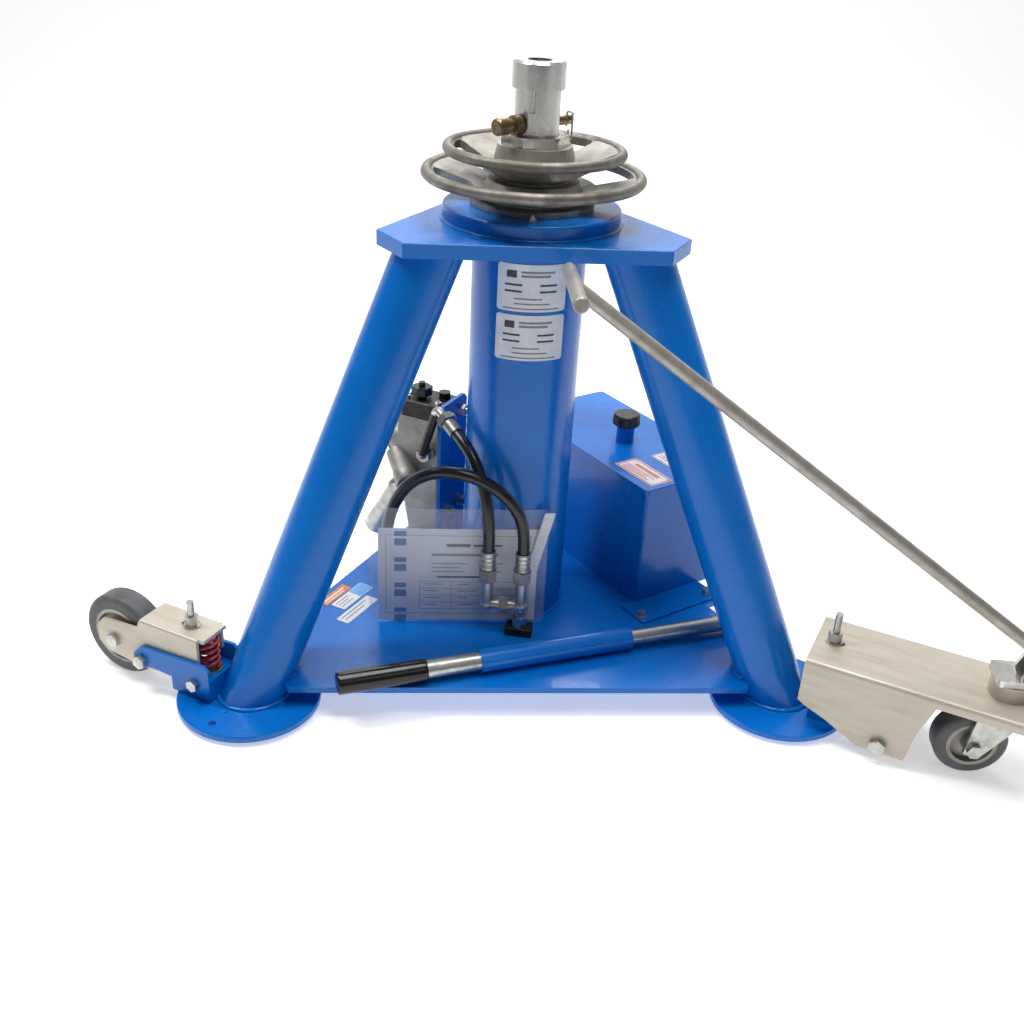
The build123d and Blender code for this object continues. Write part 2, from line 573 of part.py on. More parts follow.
def make_reservoir():
    """The sheet-metal tank, its lipped lid with the filler neck, its cap and its bolts."""
    middle = ((TANK_NEAR + TANK_FAR) / 2, (TANK_INNER + TANK_OUTER) / 2)
    size = (TANK_NEAR - TANK_FAR, TANK_OUTER - TANK_INNER)
    bolt_x = (TANK_NEAR + 36.0, TANK_FAR - 10.0)
    with BuildPart() as tank:
        with BuildSketch(tank_plane(BASE_TOP)):
            with Locations(middle):
                RectangleRounded(size[0], size[1], 4.0)
        extrude(amount=TANK_TOP - BASE_TOP)
        with BuildSketch(tank_plane(BASE_TOP + TANK_WALL)):
            with Locations(middle):
                RectangleRounded(size[0] - 2 * TANK_WALL, size[1] - 2 * TANK_WALL, 3.0)
        extrude(amount=TANK_TOP, mode=Mode.SUBTRACT)
        for low, high in ((TANK_NEAR - 6.0, TANK_NEAR + 54.0), (TANK_FAR - 17.0, TANK_FAR + 6.0)):
            with BuildSketch(tank_plane(BASE_TOP)):
                with Locations(((low + high) / 2, (TANK_INNER - 26.0 + 288.0) / 2)):
                    RectangleRounded(high - low, 288.0 - TANK_INNER + 26.0, 4.0)
            extrude(amount=TANK_WALL)
    save(tank.part, "reservoir_tank")
    with BuildPart() as lid:
        with BuildSketch(tank_plane(TANK_TOP - LID_LIP + TANK_WALL)):
            with Locations(middle):
                RectangleRounded(size[0] + 2 * TANK_WALL, size[1] + 2 * TANK_WALL, 7.0)
                RectangleRounded(size[0], size[1], 4.0, mode=Mode.SUBTRACT)
        extrude(amount=LID_LIP - TANK_WALL)
        with BuildSketch(tank_plane(TANK_TOP)):
            with Locations(middle):
                RectangleRounded(size[0] + 2 * TANK_WALL, size[1] + 2 * TANK_WALL, 7.0)
        extrude(amount=TANK_WALL)
        fillet(lid.edges().group_by(Axis.Z)[-1], 1.5)
        with BuildSketch(tank_plane(TANK_TOP + TANK_WALL)):
            with Locations(NECK_AT):
                Circle(NECK_R)
        extrude(amount=NECK_H)
        with BuildSketch(tank_plane(TANK_TOP - 1.0)):
            with Locations(NECK_AT):
                Circle(NECK_R - 3.0)
        extrude(amount=NECK_H + 10.0, mode=Mode.SUBTRACT)
    save(lid.part, "reservoir_lid")
    cap_low = TANK_TOP + TANK_WALL + NECK_H + SLIDING_GAP
    with BuildPart() as cap:
        with BuildSketch(tank_plane(cap_low)):
            with Locations(NECK_AT):
                Circle(CAP_R)
        extrude(amount=CAP_H)
        fillet(cap.edges().group_by(Axis.Z)[-1], 5.0)
        chamfer(cap.edges().group_by(Axis.Z)[0], 2.5)
        with BuildSketch(tank_plane(cap_low - 14.0)):
            with Locations(NECK_AT):
                Circle(NECK_R - 3.0 - SLIDING_GAP)
        extrude(amount=14.0)
        for index in range(14):
            angle = radians(index * 360.0 / 14)
            x, y = NECK_AT[0] + (CAP_R + 1.4) * cos(angle), NECK_AT[1] + (CAP_R + 1.4) * sin(angle)
            with BuildSketch(tank_plane(cap_low)):
                with Locations((x, y)):
                    Circle(2.9)
            extrude(amount=CAP_H - 5.0, mode=Mode.SUBTRACT)
    save(cap.part, "filler_cap")
    with BuildPart() as bolts:
        for x in bolt_x:
            for y in (TANK_INNER - 16.0, 277.0):
                with BuildSketch(tank_plane(BASE_TOP + TANK_WALL)):
                    with Locations((x, y)):
                        Circle(9.0)
                extrude(amount=1.5)
                with BuildSketch(tank_plane(BASE_TOP + TANK_WALL + 1.5)):
                    with Locations((x, y)):
                        RegularPolygon(7.0, 6, major_radius=False)
                extrude(amount=6.0)
    save(bolts.part, "reservoir_bolts")


# ---------------------------------------------------------------- hoses and fittings
def make_hose(name, route):
    """A hose: straight runs joined by arcs as large as the runs allow."""
    points = [Vector(*point) for point in route]
    radii = []
    for before, corner, after in zip(points, points[1:], points[2:]):
        turn = (corner - before).get_angle(after - corner)
        shorter = min((corner - before).length, (after - corner).length)
        radii.append(0.45 * shorter / tan(radians(turn) / 2))
    with BuildPart() as hose:
        with BuildLine() as path:
            FilletPolyline(*points, radius=radii)
        with BuildSketch(Plane(origin=points[0], z_dir=points[1] - points[0])):
            Circle(HOSE_R)
        sweep()
    length = sum(edge.length for edge in path.edges())
    print(name, "radii", [round(radius) for radius in radii], "length", round(length, 1),
          "volume ratio", round(hose.part.volume / (pi * HOSE_R ** 2 * length), 4))
    save(hose.part, name)


def outward(route, last):
    """Where a hose's end is and which way the hose leaves its fitting there."""
    if last:
        return Vector(*route[-1]), (Vector(*route[-2]) - Vector(*route[-1])).normalized()
    return Vector(*route[0]), (Vector(*route[1]) - Vector(*route[0])).normalized()


def make_ferrules():
    """A crimped ferrule and a swivel nut at each end of both hoses."""
    with BuildPart() as ferrules:
        for route in (PRESSURE_ROUTE, RETURN_ROUTE):
            for last, place in ((False, "column"), (True, "pump")):
                end, away = outward(route, last)
                ferrule, nut = END_FITTINGS[place]
                with BuildSketch(axis_plane(end, away * -1)):
                    Circle(FERRULE_R)
                extrude(amount=ferrule)
                with BuildSketch(axis_plane(end - away * ferrule, away * -1)):
                    RegularPolygon(12.5, 6, major_radius=False)
                extrude(amount=nut)
    save(ferrules.part, "hose_ferrules")


def make_fittings():
    """The elbow and tee above the port boss, and the pipe and elbow on the pump."""
    tee, elbow = Vector(*TEE_AT, 0), Vector(*ELBOW_AT, 0)
    branch = (tee - elbow).normalized()
    stem_top = FERRULE_TOP_Z - sum(END_FITTINGS["column"])
    end, away = outward(PRESSURE_ROUTE, True)
    nut_end = end - away * sum(END_FITTINGS["pump"])
    knee = nut_end - away * 22.0
    outlet = Vector(*PUMP_OUTLET)
    with BuildPart() as fittings:
        with BuildSketch(turned_plane(0, BASE_TOP + PORT_BLOCK_H, TEE_AT)):
            RegularPolygon(11.0, 6, major_radius=False)
        extrude(amount=70.0 - BASE_TOP - PORT_BLOCK_H)
        with BuildSketch(turned_plane(0, 70.0, TEE_AT)):
            Circle(8.5)
        extrude(amount=stem_top - 70.0)
        with BuildSketch(axis_plane(elbow + Vector(0, 0, BRANCH_Z), branch)):
            Circle(8.0)
        extrude(amount=(tee - elbow).length)
        with BuildSketch(axis_plane(elbow + branch * 18.0 + Vector(0, 0, BRANCH_Z), branch)):
            RegularPolygon(10.5, 6, major_radius=False)
        extrude(amount=15.0)
        with BuildSketch(turned_plane(0, BRANCH_Z, ELBOW_AT)):
            Circle(8.5)
        extrude(amount=stem_top - BRANCH_Z)
        with Locations(elbow + Vector(0, 0, BRANCH_Z)):
            Sphere(10.5)
        with Locations(tee + Vector(0, 0, BRANCH_Z)):
            Sphere(11.0)
        with BuildSketch(axis_plane(outlet, (0, -1, 0))):
            RegularPolygon(10.5, 6, major_radius=False)
        extrude(amount=12.0)
        with BuildLine() as pipe:
            FilletPolyline(outlet, (outlet.X, knee.Y, outlet.Z), knee, nut_end, radius=9.0)
        with BuildSketch(Plane(origin=outlet, x_dir=(1, 0, 0), z_dir=(0, -1, 0))):
            Circle(7.0)
        sweep()
    save(fittings.part, "port_fittings")


def make_port_boss():
    """The black port block that stands on the base plate in front of the column."""
    with BuildPart() as boss:
        with BuildSketch(turned_plane(18.0, BASE_TOP, TEE_AT)):
            RectangleRounded(41.0, 27.0, 4.0)
        extrude(amount=PORT_BLOCK_H)
        fillet(boss.edges().group_by(Axis.Z)[-1], 2.0)
    save(boss.part, "port_boss")


# ---------------------------------------------------------------- loose handle and document pouch
def handle_plane(distance):
    """A plane across the stored handle at a distance from its grip's end."""
    direction = polar(1.0, HANDLE_ANGLE)
    at = Vector(HANDLE_START[0], HANDLE_START[1], HANDLE_Z) + direction * distance
    return Plane(origin=at, z_dir=direction)


def make_handle():
    """The pump handle in its storage tube: thick end with a grip, thinner end past the tube."""
    with BuildPart() as tube:
        with BuildSketch(handle_plane(SLEEVE_FROM)):
            Circle(17.0)
            Circle(14.3, mode=Mode.SUBTRACT)
        extrude(amount=SLEEVE_TO - SLEEVE_FROM)
        for distance in (SLEEVE_FROM + 30.0, SLEEVE_TO - 45.0):
            with BuildSketch(handle_plane(distance)):
                Circle(17.0)
                Circle(14.3, mode=Mode.SUBTRACT)
            extrude(amount=15.0)
    save(tube.part, "storage_tube")
    with BuildPart() as handle:
        with BuildSketch(handle_plane(6.0)):
            Circle(13.8)
        extrude(amount=SLEEVE_FROM + 30.0 - 6.0)
        with BuildSketch(handle_plane(SLEEVE_FROM + 30.0)):
            Circle(12.0)
        extrude(amount=HANDLE_LENGTH - SLEEVE_FROM - 30.0)
        chamfer(handle.edges().filter_by(GeomType.CIRCLE).sort_by(
            Axis(origin=(0, 0, 0), direction=polar(1.0, HANDLE_ANGLE)))[-1], 1.5)
    save(handle.part, "pump_handle")
    with BuildPart() as grip:
        with BuildSketch(handle_plane(0.0)):
            Circle(16.5)
        extrude(amount=GRIP_LENGTH)
        ends = grip.edges().filter_by(GeomType.CIRCLE)
        fillet(ends, 3.0)
        with BuildSketch(handle_plane(6.0)):
            Circle(13.8)
        extrude(amount=GRIP_LENGTH, mode=Mode.SUBTRACT)
    save(grip.part, "handle_grip")


def make_pouch():
    """The flat document pouch that stands on the base plate and leans on the column."""
    width, height, lean = 268.0, 194.0, 2.4
    direction = Vector(cos(radians(30)), sin(radians(30)), 0)
    out = Vector(0.5 * cos(radians(lean)), -cos(radians(30)) * cos(radians(lean)), sin(radians(lean)))
    centre = polar(91.0, 300.0, BASE_TOP + 0.8) + direction * -89.0
    with BuildPart() as pouch:
        with BuildSketch(Plane(origin=centre, x_dir=direction, z_dir=out)):
            with Locations((0, height / 2)):
                Rectangle(width, height)
        extrude(amount=-1.6)
    save(pouch.part, "document_pouch")


# ---------------------------------------------------------------- spring-loaded casters
def bolt(at, direction, shank_r, length, head_r, head_t, nut=True):
    """A hexagon bolt: its head outside the point, its shank along the direction."""
    start = Vector(*at)
    along = Vector(*direction)
    with BuildPart() as piece:
        with BuildSketch(axis_plane(start, along)):
            Circle(shank_r)
        extrude(amount=length)
        with BuildSketch(axis_plane(start, along * -1)):
            RegularPolygon(head_r, 6, major_radius=False)
        extrude(amount=head_t)
        if nut:
            with BuildSketch(axis_plane(start + along * length, along)):
                RegularPolygon(head_r, 6, major_radius=False)
            extrude(amount=head_t)
    return piece.part


def make_brackets():
    """The blue channels on the pads that the caster arms hinge in, with their spring seats."""
    with BuildPart() as brackets:
        for side in SIDES.values():
            y = side * CASTER_Y
            for wall in (-1, 1):
                inner = y + wall * (BRACKET_GAP + BRACKET_WALL / 2)
                with BuildSketch(side_plane(inner)):
                    with BuildLine():
                        Polyline((-256, 28), (-292, 28), (-306, 35), (-352, 38), (-374, 32), (-386, 40),
                                 (-384, 54), (-370, 68), (-258, 73), (-250, 66), (-250, 34), close=True)
                    make_face()
                    with Locations(ARM_PIVOT):
                        Circle(6.0 + RUNNING_GAP, mode=Mode.SUBTRACT)
                extrude(amount=BRACKET_WALL / 2, both=True)
            for low, high, top in ((-322.0, -288.0, STUD_SEAT_Z), (-288.0, -254.0, SPRING_SEAT_Z - 3.0)):
                with BuildSketch(Plane.XY.offset(PAD_T)):
                    with Locations(((low + high) / 2, y)):
                        Rectangle(high - low, 2 * BRACKET_GAP + 0.02)
                extrude(amount=top - PAD_T)
            with BuildSketch(side_plane(y)):
                with Locations(BLOCK_BOLT):
                    Circle(5.0)
            extrude(amount=BRACKET_GAP + 2 * BRACKET_WALL, both=True, mode=Mode.SUBTRACT)
        for wall in (-1, 1):
            with BuildSketch(side_plane(wall * (BRACKET_GAP + BRACKET_WALL / 2))):
                with BuildLine():
                    Polyline((498, PAD_T), (552, PAD_T), (604, 9.5), (616, 21), (606, 40), (560, 58),
                             (498, 58), close=True)
                make_face()
                with Locations(TOW_PIVOT):
                    Circle(7.0, mode=Mode.SUBTRACT)
            extrude(amount=BRACKET_WALL / 2, both=True)
        with BuildSketch(Plane.XY.offset(PAD_T)):
            with Locations((526.0, 0)):
                Rectangle(56.0, 2 * BRACKET_GAP + 0.02)
        extrude(amount=5.0)
        with BuildSketch(Plane.XY.offset(PAD_T + 5.0)):
            with Locations((TOW_SPRING_X, 0)):
                Circle(11.0)
        extrude(amount=TOW_SEAT_Z - 3.0 - PAD_T - 5.0)
        for angle in LEGS.values():
            with BuildSketch(leg_plane(angle, 60.0)):
                Circle(LEG_R + 0.05)
            extrude(amount=300.0, mode=Mode.SUBTRACT)
    save(brackets.part, "caster_brackets")


def make_limit_studs():
    """The studs that stop the arms, with nuts and washers, the spring washers and the block bolts."""
    places = [(STUD_X, side * CASTER_Y, STUD_SEAT_Z, ARM_TOP, SPRING_X, SPRING_SEAT_Z)
              for side in SIDES.values()]
    places.append((TOW_STUD_X, 0.0, PAD_T + 5.0, TOW_ARM_TOP, TOW_SPRING_X, TOW_SEAT_Z))
    with BuildPart() as studs:
        for x, y, foot, web_top, spring_x, seat in places:
            rise = web_top - ARM_TOP
            with BuildSketch(Plane.XY.offset(foot)):
                with Locations((x, y)):
                    Circle(STUD_R)
            extrude(amount=STUD_TOP + rise * 1.5 - foot)
            with BuildSketch(Plane.XY.offset(foot)):
                with Locations((x, y)):
                    RegularPolygon(8.5, 6, major_radius=False)
            extrude(amount=8.0)
            with BuildSketch(Plane.XY.offset(web_top + 0.3)):
                with Locations((x, y)):
                    Circle(12.0)
            extrude(amount=2.0)
            with BuildSketch(Plane.XY.offset(web_top + 2.3)):
                with Locations((x, y)):
                    RegularPolygon(8.5, 6, major_radius=False)
            extrude(amount=15.0)
            with BuildSketch(Plane.XY.offset(seat - 3.0)):
                with Locations((spring_x, y)):
                    Circle(18.0)
            extrude(amount=3.0)
        for side in SIDES.values():
            reach = BRACKET_GAP + BRACKET_WALL
            head = (BLOCK_BOLT[0], side * (CASTER_Y + reach), BLOCK_BOLT[1])
            add(bolt(head, (0, -side, 0), 5.0, 2 * reach, 8.0, 6.0))
    save(studs.part, "limit_studs")


def make_spring(name, x, y, low, high):
    """A caster's compression spring, between its seat and the arm's web."""
    pitch = (high - low - 2 * SPRING_WIRE_R) / SPRING_TURNS
    with BuildPart() as spring:
        with BuildLine() as path:
            Helix(pitch, pitch * SPRING_TURNS, SPRING_R, center=(x, y, low + SPRING_WIRE_R))
        with BuildSketch(Plane(origin=path.line @ 0, z_dir=path.line % 0)):
            Circle(SPRING_WIRE_R)
        sweep(is_frenet=True)
    save(spring.part, name)


def make_rigid_arm(name, side):
    """A caster arm: an upturned channel whose walls carry the wheel beyond the web."""
    y = side * CASTER_Y
    inner_half = ARM_HALF - ARM_WALL
    with BuildPart() as arm:
        with BuildSketch(side_plane(y)):
            with BuildLine():
                Polyline((ARM_INNER_X, 66), (ARM_INNER_X, ARM_TOP), (ARM_WEB_OUTER_X, ARM_TOP), (-380, 92),
                         (-444, 88), (-456, 74), (-456, 48), (-440, 34), (-385, 28), (-352, 28),
                         (-328, 60), (-316, 66), close=True)
            make_face()
        extrude(amount=ARM_HALF, both=True)
        fillet(arm.edges().filter_by(Axis.X).group_by(Axis.Z)[-1], 4.5)
        with BuildSketch(side_plane(y)):
            with BuildLine():
                Polyline((ARM_INNER_X + 2, 0), (ARM_INNER_X + 2, ARM_TOP - ARM_WALL),
                         (ARM_WEB_OUTER_X, ARM_TOP - ARM_WALL), (ARM_WEB_OUTER_X, ARM_TOP + 2),
                         (-470, ARM_TOP + 2), (-470, 0), close=True)
            make_face()
        extrude(amount=inner_half, both=True, mode=Mode.SUBTRACT)
        with BuildSketch(Plane.XY.offset(ARM_TOP - ARM_WALL)):
            with Locations((ARM_INNER_X + 5.0, y)):
                Rectangle(10.0, 2 * (ARM_HALF - 4.5))
        extrude(amount=ARM_WALL)
        with BuildSketch(Plane.XY.offset(ARM_TOP - 20.0)):
            with Locations((STUD_X - 4.0, y)):
                SlotOverall(26.0, 12.0)
        extrude(amount=30.0, mode=Mode.SUBTRACT)
        for at, radius in ((ARM_PIVOT, 6.0), (WHEEL_AT, 6.0)):
            with BuildSketch(side_plane(y)):
                with Locations(at):
                    Circle(radius)
            extrude(amount=ARM_HALF + 1.0, both=True, mode=Mode.SUBTRACT)
    save(arm.part, f"caster_arm_{name}")
    with BuildPart() as bolts:
        outside = BRACKET_GAP + BRACKET_WALL
        for direction in (-1, 1):
            at = (ARM_PIVOT[0], y + direction * (outside + 0.3), ARM_PIVOT[1])
            add(bolt(at, (0, -direction, 0), 6.0, outside + 0.3 - inner_half, 9.5, 7.0, nut=False))
        add(bolt((WHEEL_AT[0], y - ARM_HALF, WHEEL_AT[1]), (0, 1, 0), 6.0, 2 * ARM_HALF, 9.5, 7.0))
    save(bolts.part, f"arm_bolts_{name}")


def make_wheel(name, radius, half, hub_r, bore, plane):
    """A wheel: a round-shouldered tyre on a ribbed hub."""
    with BuildPart() as tyre:
        with BuildSketch(plane):
            Circle(radius)
            Circle(hub_r, mode=Mode.SUBTRACT)
        extrude(amount=half, both=True)
        rims = tyre.edges().filter_by(GeomType.CIRCLE).filter_by(lambda edge: edge.radius > radius - 0.1)
        fillet(rims, 9.0)
    save(tyre.part, f"{name}_tyre")
    with BuildPart() as hub:
        with BuildSketch(plane):
            Circle(hub_r)
            Circle(bore, mode=Mode.SUBTRACT)
        extrude(amount=half, both=True)
        for direction in (-1, 1):
            with BuildSketch(plane.offset(direction * half)):
                Circle(hub_r - 5.0)
                Circle(bore + 7.0, mode=Mode.SUBTRACT)
            extrude(amount=-direction * 9.0, mode=Mode.SUBTRACT)
    save(hub.part, f"{name}_hub")


def make_rigid_wheels():
    """The two rear wheels and their arms and springs."""
    for name, side in SIDES.items():
        y = side * CASTER_Y
        make_rigid_arm(name, side)
        plane = Plane(origin=(WHEEL_AT[0], y, WHEEL_AT[1]), x_dir=(1, 0, 0), z_dir=(0, -1, 0))
        make_wheel(f"wheel_{name}", WHEEL_R, WHEEL_HALF, 44.0, 6.0 + RUNNING_GAP, plane)
        make_spring(f"caster_spring_{name}", SPRING_X, y, SPRING_SEAT_Z, ARM_TOP - ARM_WALL)


# ---------------------------------------------------------------- tow caster and tow bar
def make_tow_arm():
    """The wide front arm: deep walls round the pivot, a plain web out to the kingpin."""
    inner_half = TOW_ARM_HALF - TOW_ARM_WALL
    start, end = TOW_ARM_X
    under = TOW_ARM_TOP - TOW_ARM_WALL
    with BuildPart() as arm:
        with BuildSketch(side_plane(0)):
            with BuildLine():
                Polyline((start, 56), (start, TOW_ARM_TOP), (end, TOW_ARM_TOP), (end, under - 10),
                         (664, under - 10), (648, 60), (640, 9), (575, 9), (527, 36), (494, 50), close=True)
            make_face()
        extrude(amount=TOW_ARM_HALF, both=True)
        fillet(arm.edges().filter_by(Axis.X).group_by(Axis.Z)[-1], 7.0)
        with BuildSketch(side_plane(0)):
            with BuildLine():
                Polyline((start - 5, 0), (start - 5, under), (end + 5, under), (end + 5, 0), close=True)
            make_face()
        extrude(amount=inner_half, both=True, mode=Mode.SUBTRACT)
        with BuildSketch(Plane.XY.offset(under - 10)):
            with Locations((TOW_STUD_X + 4.0, 0)):
                SlotOverall(24.0, 12.0)
            with Locations((KINGPIN_X, 0)):
                Circle(KINGPIN_R + RUNNING_GAP)
        extrude(amount=40.0, mode=Mode.SUBTRACT)
        with BuildSketch(side_plane(0)):
            with Locations(TOW_PIVOT):
                Circle(7.0 + RUNNING_GAP)
        extrude(amount=TOW_ARM_HALF + 1.0, both=True, mode=Mode.SUBTRACT)
        with BuildSketch(Plane.XY.offset(TOW_ARM_TOP)):
            with Locations((KINGPIN_X, 0)):
                Circle(27.0)
                Circle(KINGPIN_R + RUNNING_GAP, mode=Mode.SUBTRACT)
        extrude(amount=24.0)
    save(arm.part, "tow_arm")
    at = (TOW_PIVOT[0], -TOW_ARM_HALF - 0.3, TOW_PIVOT[1])
    save(bolt(at, (0, 1, 0), 7.0, 2 * TOW_ARM_HALF + 0.6, 11.0, 8.0), "tow_pivot_bolt")


def tow_vectors():
    """The folded tow bar's level direction, its hinge axis and the bar's own direction."""
    back = polar(1.0, TOW_PLANE_ANGLE)
    across = Vector(-back.Y, back.X, 0)
    slope = radians(TOW_BAR_SLOPE)
    along = back * cos(slope) + Vector(0, 0, sin(slope))
    return back, across, along


def make_fork():
    """The swivel fork under the arm, with its kingpin, nut, clevis and axle."""
    back, across, _ = tow_vectors()
    crown_low, bearing_top = 96.0, TOW_ARM_TOP - TOW_ARM_WALL - SLIDING_GAP
    kingpin = Vector(KINGPIN_X, 0, 0)
    axle = kingpin + back * TRAIL + Vector(0, 0, FLOOR_Z + TOW_WHEEL_R)
    with BuildPart() as fork:
        with BuildSketch(turned_plane(TOW_PLANE_ANGLE, crown_low, (KINGPIN_X, 0))):
            with Locations((6.0, 0)):
                RectangleRounded(74.0, 56.0, 8.0)
        extrude(amount=6.0)
        with BuildSketch(turned_plane(TOW_PLANE_ANGLE, crown_low + 6.0, (KINGPIN_X, 0))):
            Circle(26.0)
        extrude(amount=bearing_top - crown_low - 6.0)
        for wall in (-1, 1):
            offset = kingpin + across * (wall * 25.5)
            with BuildSketch(Plane(origin=offset, x_dir=back, z_dir=back.cross(Vector(0, 0, 1)))):
                with BuildLine():
                    Polyline((-24, crown_low + 1), (TRAIL - 13, 36), (TRAIL, 31), (TRAIL + 13, 36),
                             (40, crown_low + 1), close=True)
                make_face()
                with Locations((TRAIL, FLOOR_Z + TOW_WHEEL_R)):
                    Circle(6.0, mode=Mode.SUBTRACT)
            extrude(amount=2.5, both=True)
        with BuildSketch(Plane.XY.offset(crown_low - 1.0)):
            with Locations((KINGPIN_X, 0)):
                Circle(KINGPIN_R)
        extrude(amount=40.0, mode=Mode.SUBTRACT)
    save(fork.part, "swivel_fork")
    with BuildPart() as stem:
        with BuildSketch(Plane.XY.offset(crown_low)):
            with Locations((KINGPIN_X, 0)):
                Circle(KINGPIN_R)
        extrude(amount=148.0 - crown_low)
        with BuildSketch(turned_plane(TOW_PLANE_ANGLE, 148.0, (KINGPIN_X, 0))):
            with Locations((-12.0, 0)):
                RectangleRounded(76.0, 50.0, 6.0)
        extrude(amount=10.0)
        for wall in (-1, 1):
            offset = kingpin + across * (wall * 16.0)
            with BuildSketch(Plane(origin=offset, x_dir=back, z_dir=back.cross(Vector(0, 0, 1)))):
                with BuildLine():
                    Polyline((-50, 157.9), (-44, TOW_HINGE_Z), (-TOW_HINGE_OFFSET, TOW_HINGE_Z + 14),
                             (-16, TOW_HINGE_Z), (-4, 157.9), close=True)
                make_face()
                with Locations((-TOW_HINGE_OFFSET, TOW_HINGE_Z)):
                    Circle(6.0, mode=Mode.SUBTRACT)
            extrude(amount=3.0, both=True)
    save(stem.part, "steering_stem")
    hinge = kingpin - back * TOW_HINGE_OFFSET + Vector(0, 0, TOW_HINGE_Z)
    with BuildPart() as bolts:
        add(bolt(axle - across * 28.0, across, 6.0, 56.0, 9.5, 7.0))
        add(bolt(hinge - across * 19.0, across, 6.0, 38.0, 9.0, 6.0))
    save(bolts.part, "swivel_bolts")
    plane = Plane(origin=axle, x_dir=back, z_dir=across)
    make_wheel("tow_wheel", TOW_WHEEL_R, TOW_WHEEL_HALF, 34.0, 6.0 + RUNNING_GAP, plane)


def make_tow_bar():
    """The tow bar: an eye on the hinge bolt, a long rod and a crossbar handle."""
    back, across, along = tow_vectors()
    hinge = Vector(KINGPIN_X, 0, TOW_HINGE_Z) - back * TOW_HINGE_OFFSET
    normal = along.cross(across)
    twist = radians(CROSSBAR_TWIST)
    crossbar = across * cos(twist) + normal * sin(twist)
    end = hinge + along * TOW_BAR_LENGTH
    with BuildPart() as bar:
        with BuildSketch(axis_plane(hinge - across * 12.5, across)):
            Circle(13.0)
        extrude(amount=25.0)
        with BuildSketch(axis_plane(hinge, along)):
            Circle(TOW_BAR_R)
        extrude(amount=TOW_BAR_LENGTH)
        with BuildSketch(axis_plane(end - crossbar * (CROSSBAR_LENGTH / 2), crossbar)):
            Circle(TOW_BAR_R)
        extrude(amount=CROSSBAR_LENGTH)
        tips = bar.edges().filter_by(GeomType.CIRCLE).sort_by(Axis(origin=end, direction=crossbar))
        chamfer([tips[0], tips[-1]], 1.5)
        with BuildSketch(axis_plane(hinge - across * 20.0, across)):
            Circle(6.0 + RUNNING_GAP)
        extrude(amount=40.0, mode=Mode.SUBTRACT)
    save(bar.part, "tow_bar")
    print("crossbar centre", end, "direction", crossbar)


def main():
    """Build every piece and write it to its own STEP file."""
    os.makedirs("parts", exist_ok=True)
    make_foot_pads()
    make_legs()
    make_top_plate()
    make_base_plate()
    make_collar_ring()
    make_column_tube()
    piston_top = make_piston()
    make_inner_ram(piston_top)
    make_extension()
    make_jack_socket()
    make_lock_pin()
    make_lock_wheels()
    make_pump_plate()
    make_pump_fasteners()
    make_pump_body()
    make_valve_block()
    make_pump_lever()
    make_reservoir()
    make_hose("pressure_hose", PRESSURE_ROUTE)
    make_hose("return_hose", RETURN_ROUTE)
    make_ferrules()
    make_fittings()
    make_port_boss()
    make_handle()
    make_pouch()
    make_brackets()
    make_limit_studs()
    make_rigid_wheels()
    make_tow_arm()
    make_spring("caster_spring_tow", TOW_SPRING_X, 0.0, TOW_SEAT_Z, TOW_ARM_TOP - TOW_ARM_WALL)
    make_fork()
    make_tow_bar()


main()
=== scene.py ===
"""Looks of a hydraulic aircraft tripod jack: camera, hoses, materials, labels, pouch, welds and springs."""
import json
import random
from math import cos, pi, radians, sin, sqrt

import bmesh
import bpy
from mathutils import Matrix, Quaternion, Vector


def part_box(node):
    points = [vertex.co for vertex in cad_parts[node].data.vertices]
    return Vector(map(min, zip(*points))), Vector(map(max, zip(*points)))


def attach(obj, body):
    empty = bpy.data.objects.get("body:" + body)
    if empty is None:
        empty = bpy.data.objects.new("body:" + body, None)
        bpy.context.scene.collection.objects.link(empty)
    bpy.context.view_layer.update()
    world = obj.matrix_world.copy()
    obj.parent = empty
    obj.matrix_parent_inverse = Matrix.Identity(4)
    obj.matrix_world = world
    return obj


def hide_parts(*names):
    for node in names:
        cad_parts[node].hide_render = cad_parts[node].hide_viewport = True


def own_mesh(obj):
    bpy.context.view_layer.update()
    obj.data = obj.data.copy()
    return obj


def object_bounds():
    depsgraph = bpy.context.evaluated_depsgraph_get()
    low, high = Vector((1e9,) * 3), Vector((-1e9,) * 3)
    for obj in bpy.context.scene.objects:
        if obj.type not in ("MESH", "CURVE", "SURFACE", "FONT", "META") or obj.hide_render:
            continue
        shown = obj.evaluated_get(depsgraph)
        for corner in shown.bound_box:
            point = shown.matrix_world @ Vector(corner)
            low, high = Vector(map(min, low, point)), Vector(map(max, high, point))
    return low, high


# ---------------------------------------------------------------- sizes, in metres
CAMERA_AT = (0.660, -1.420, 1.037)
CAMERA_AZIMUTH, CAMERA_ELEVATION, CAMERA_ROLL = 25.1, 28.5, 3.1
CAMERA_LENS, CAMERA_SENSOR = 40.17, 36.0

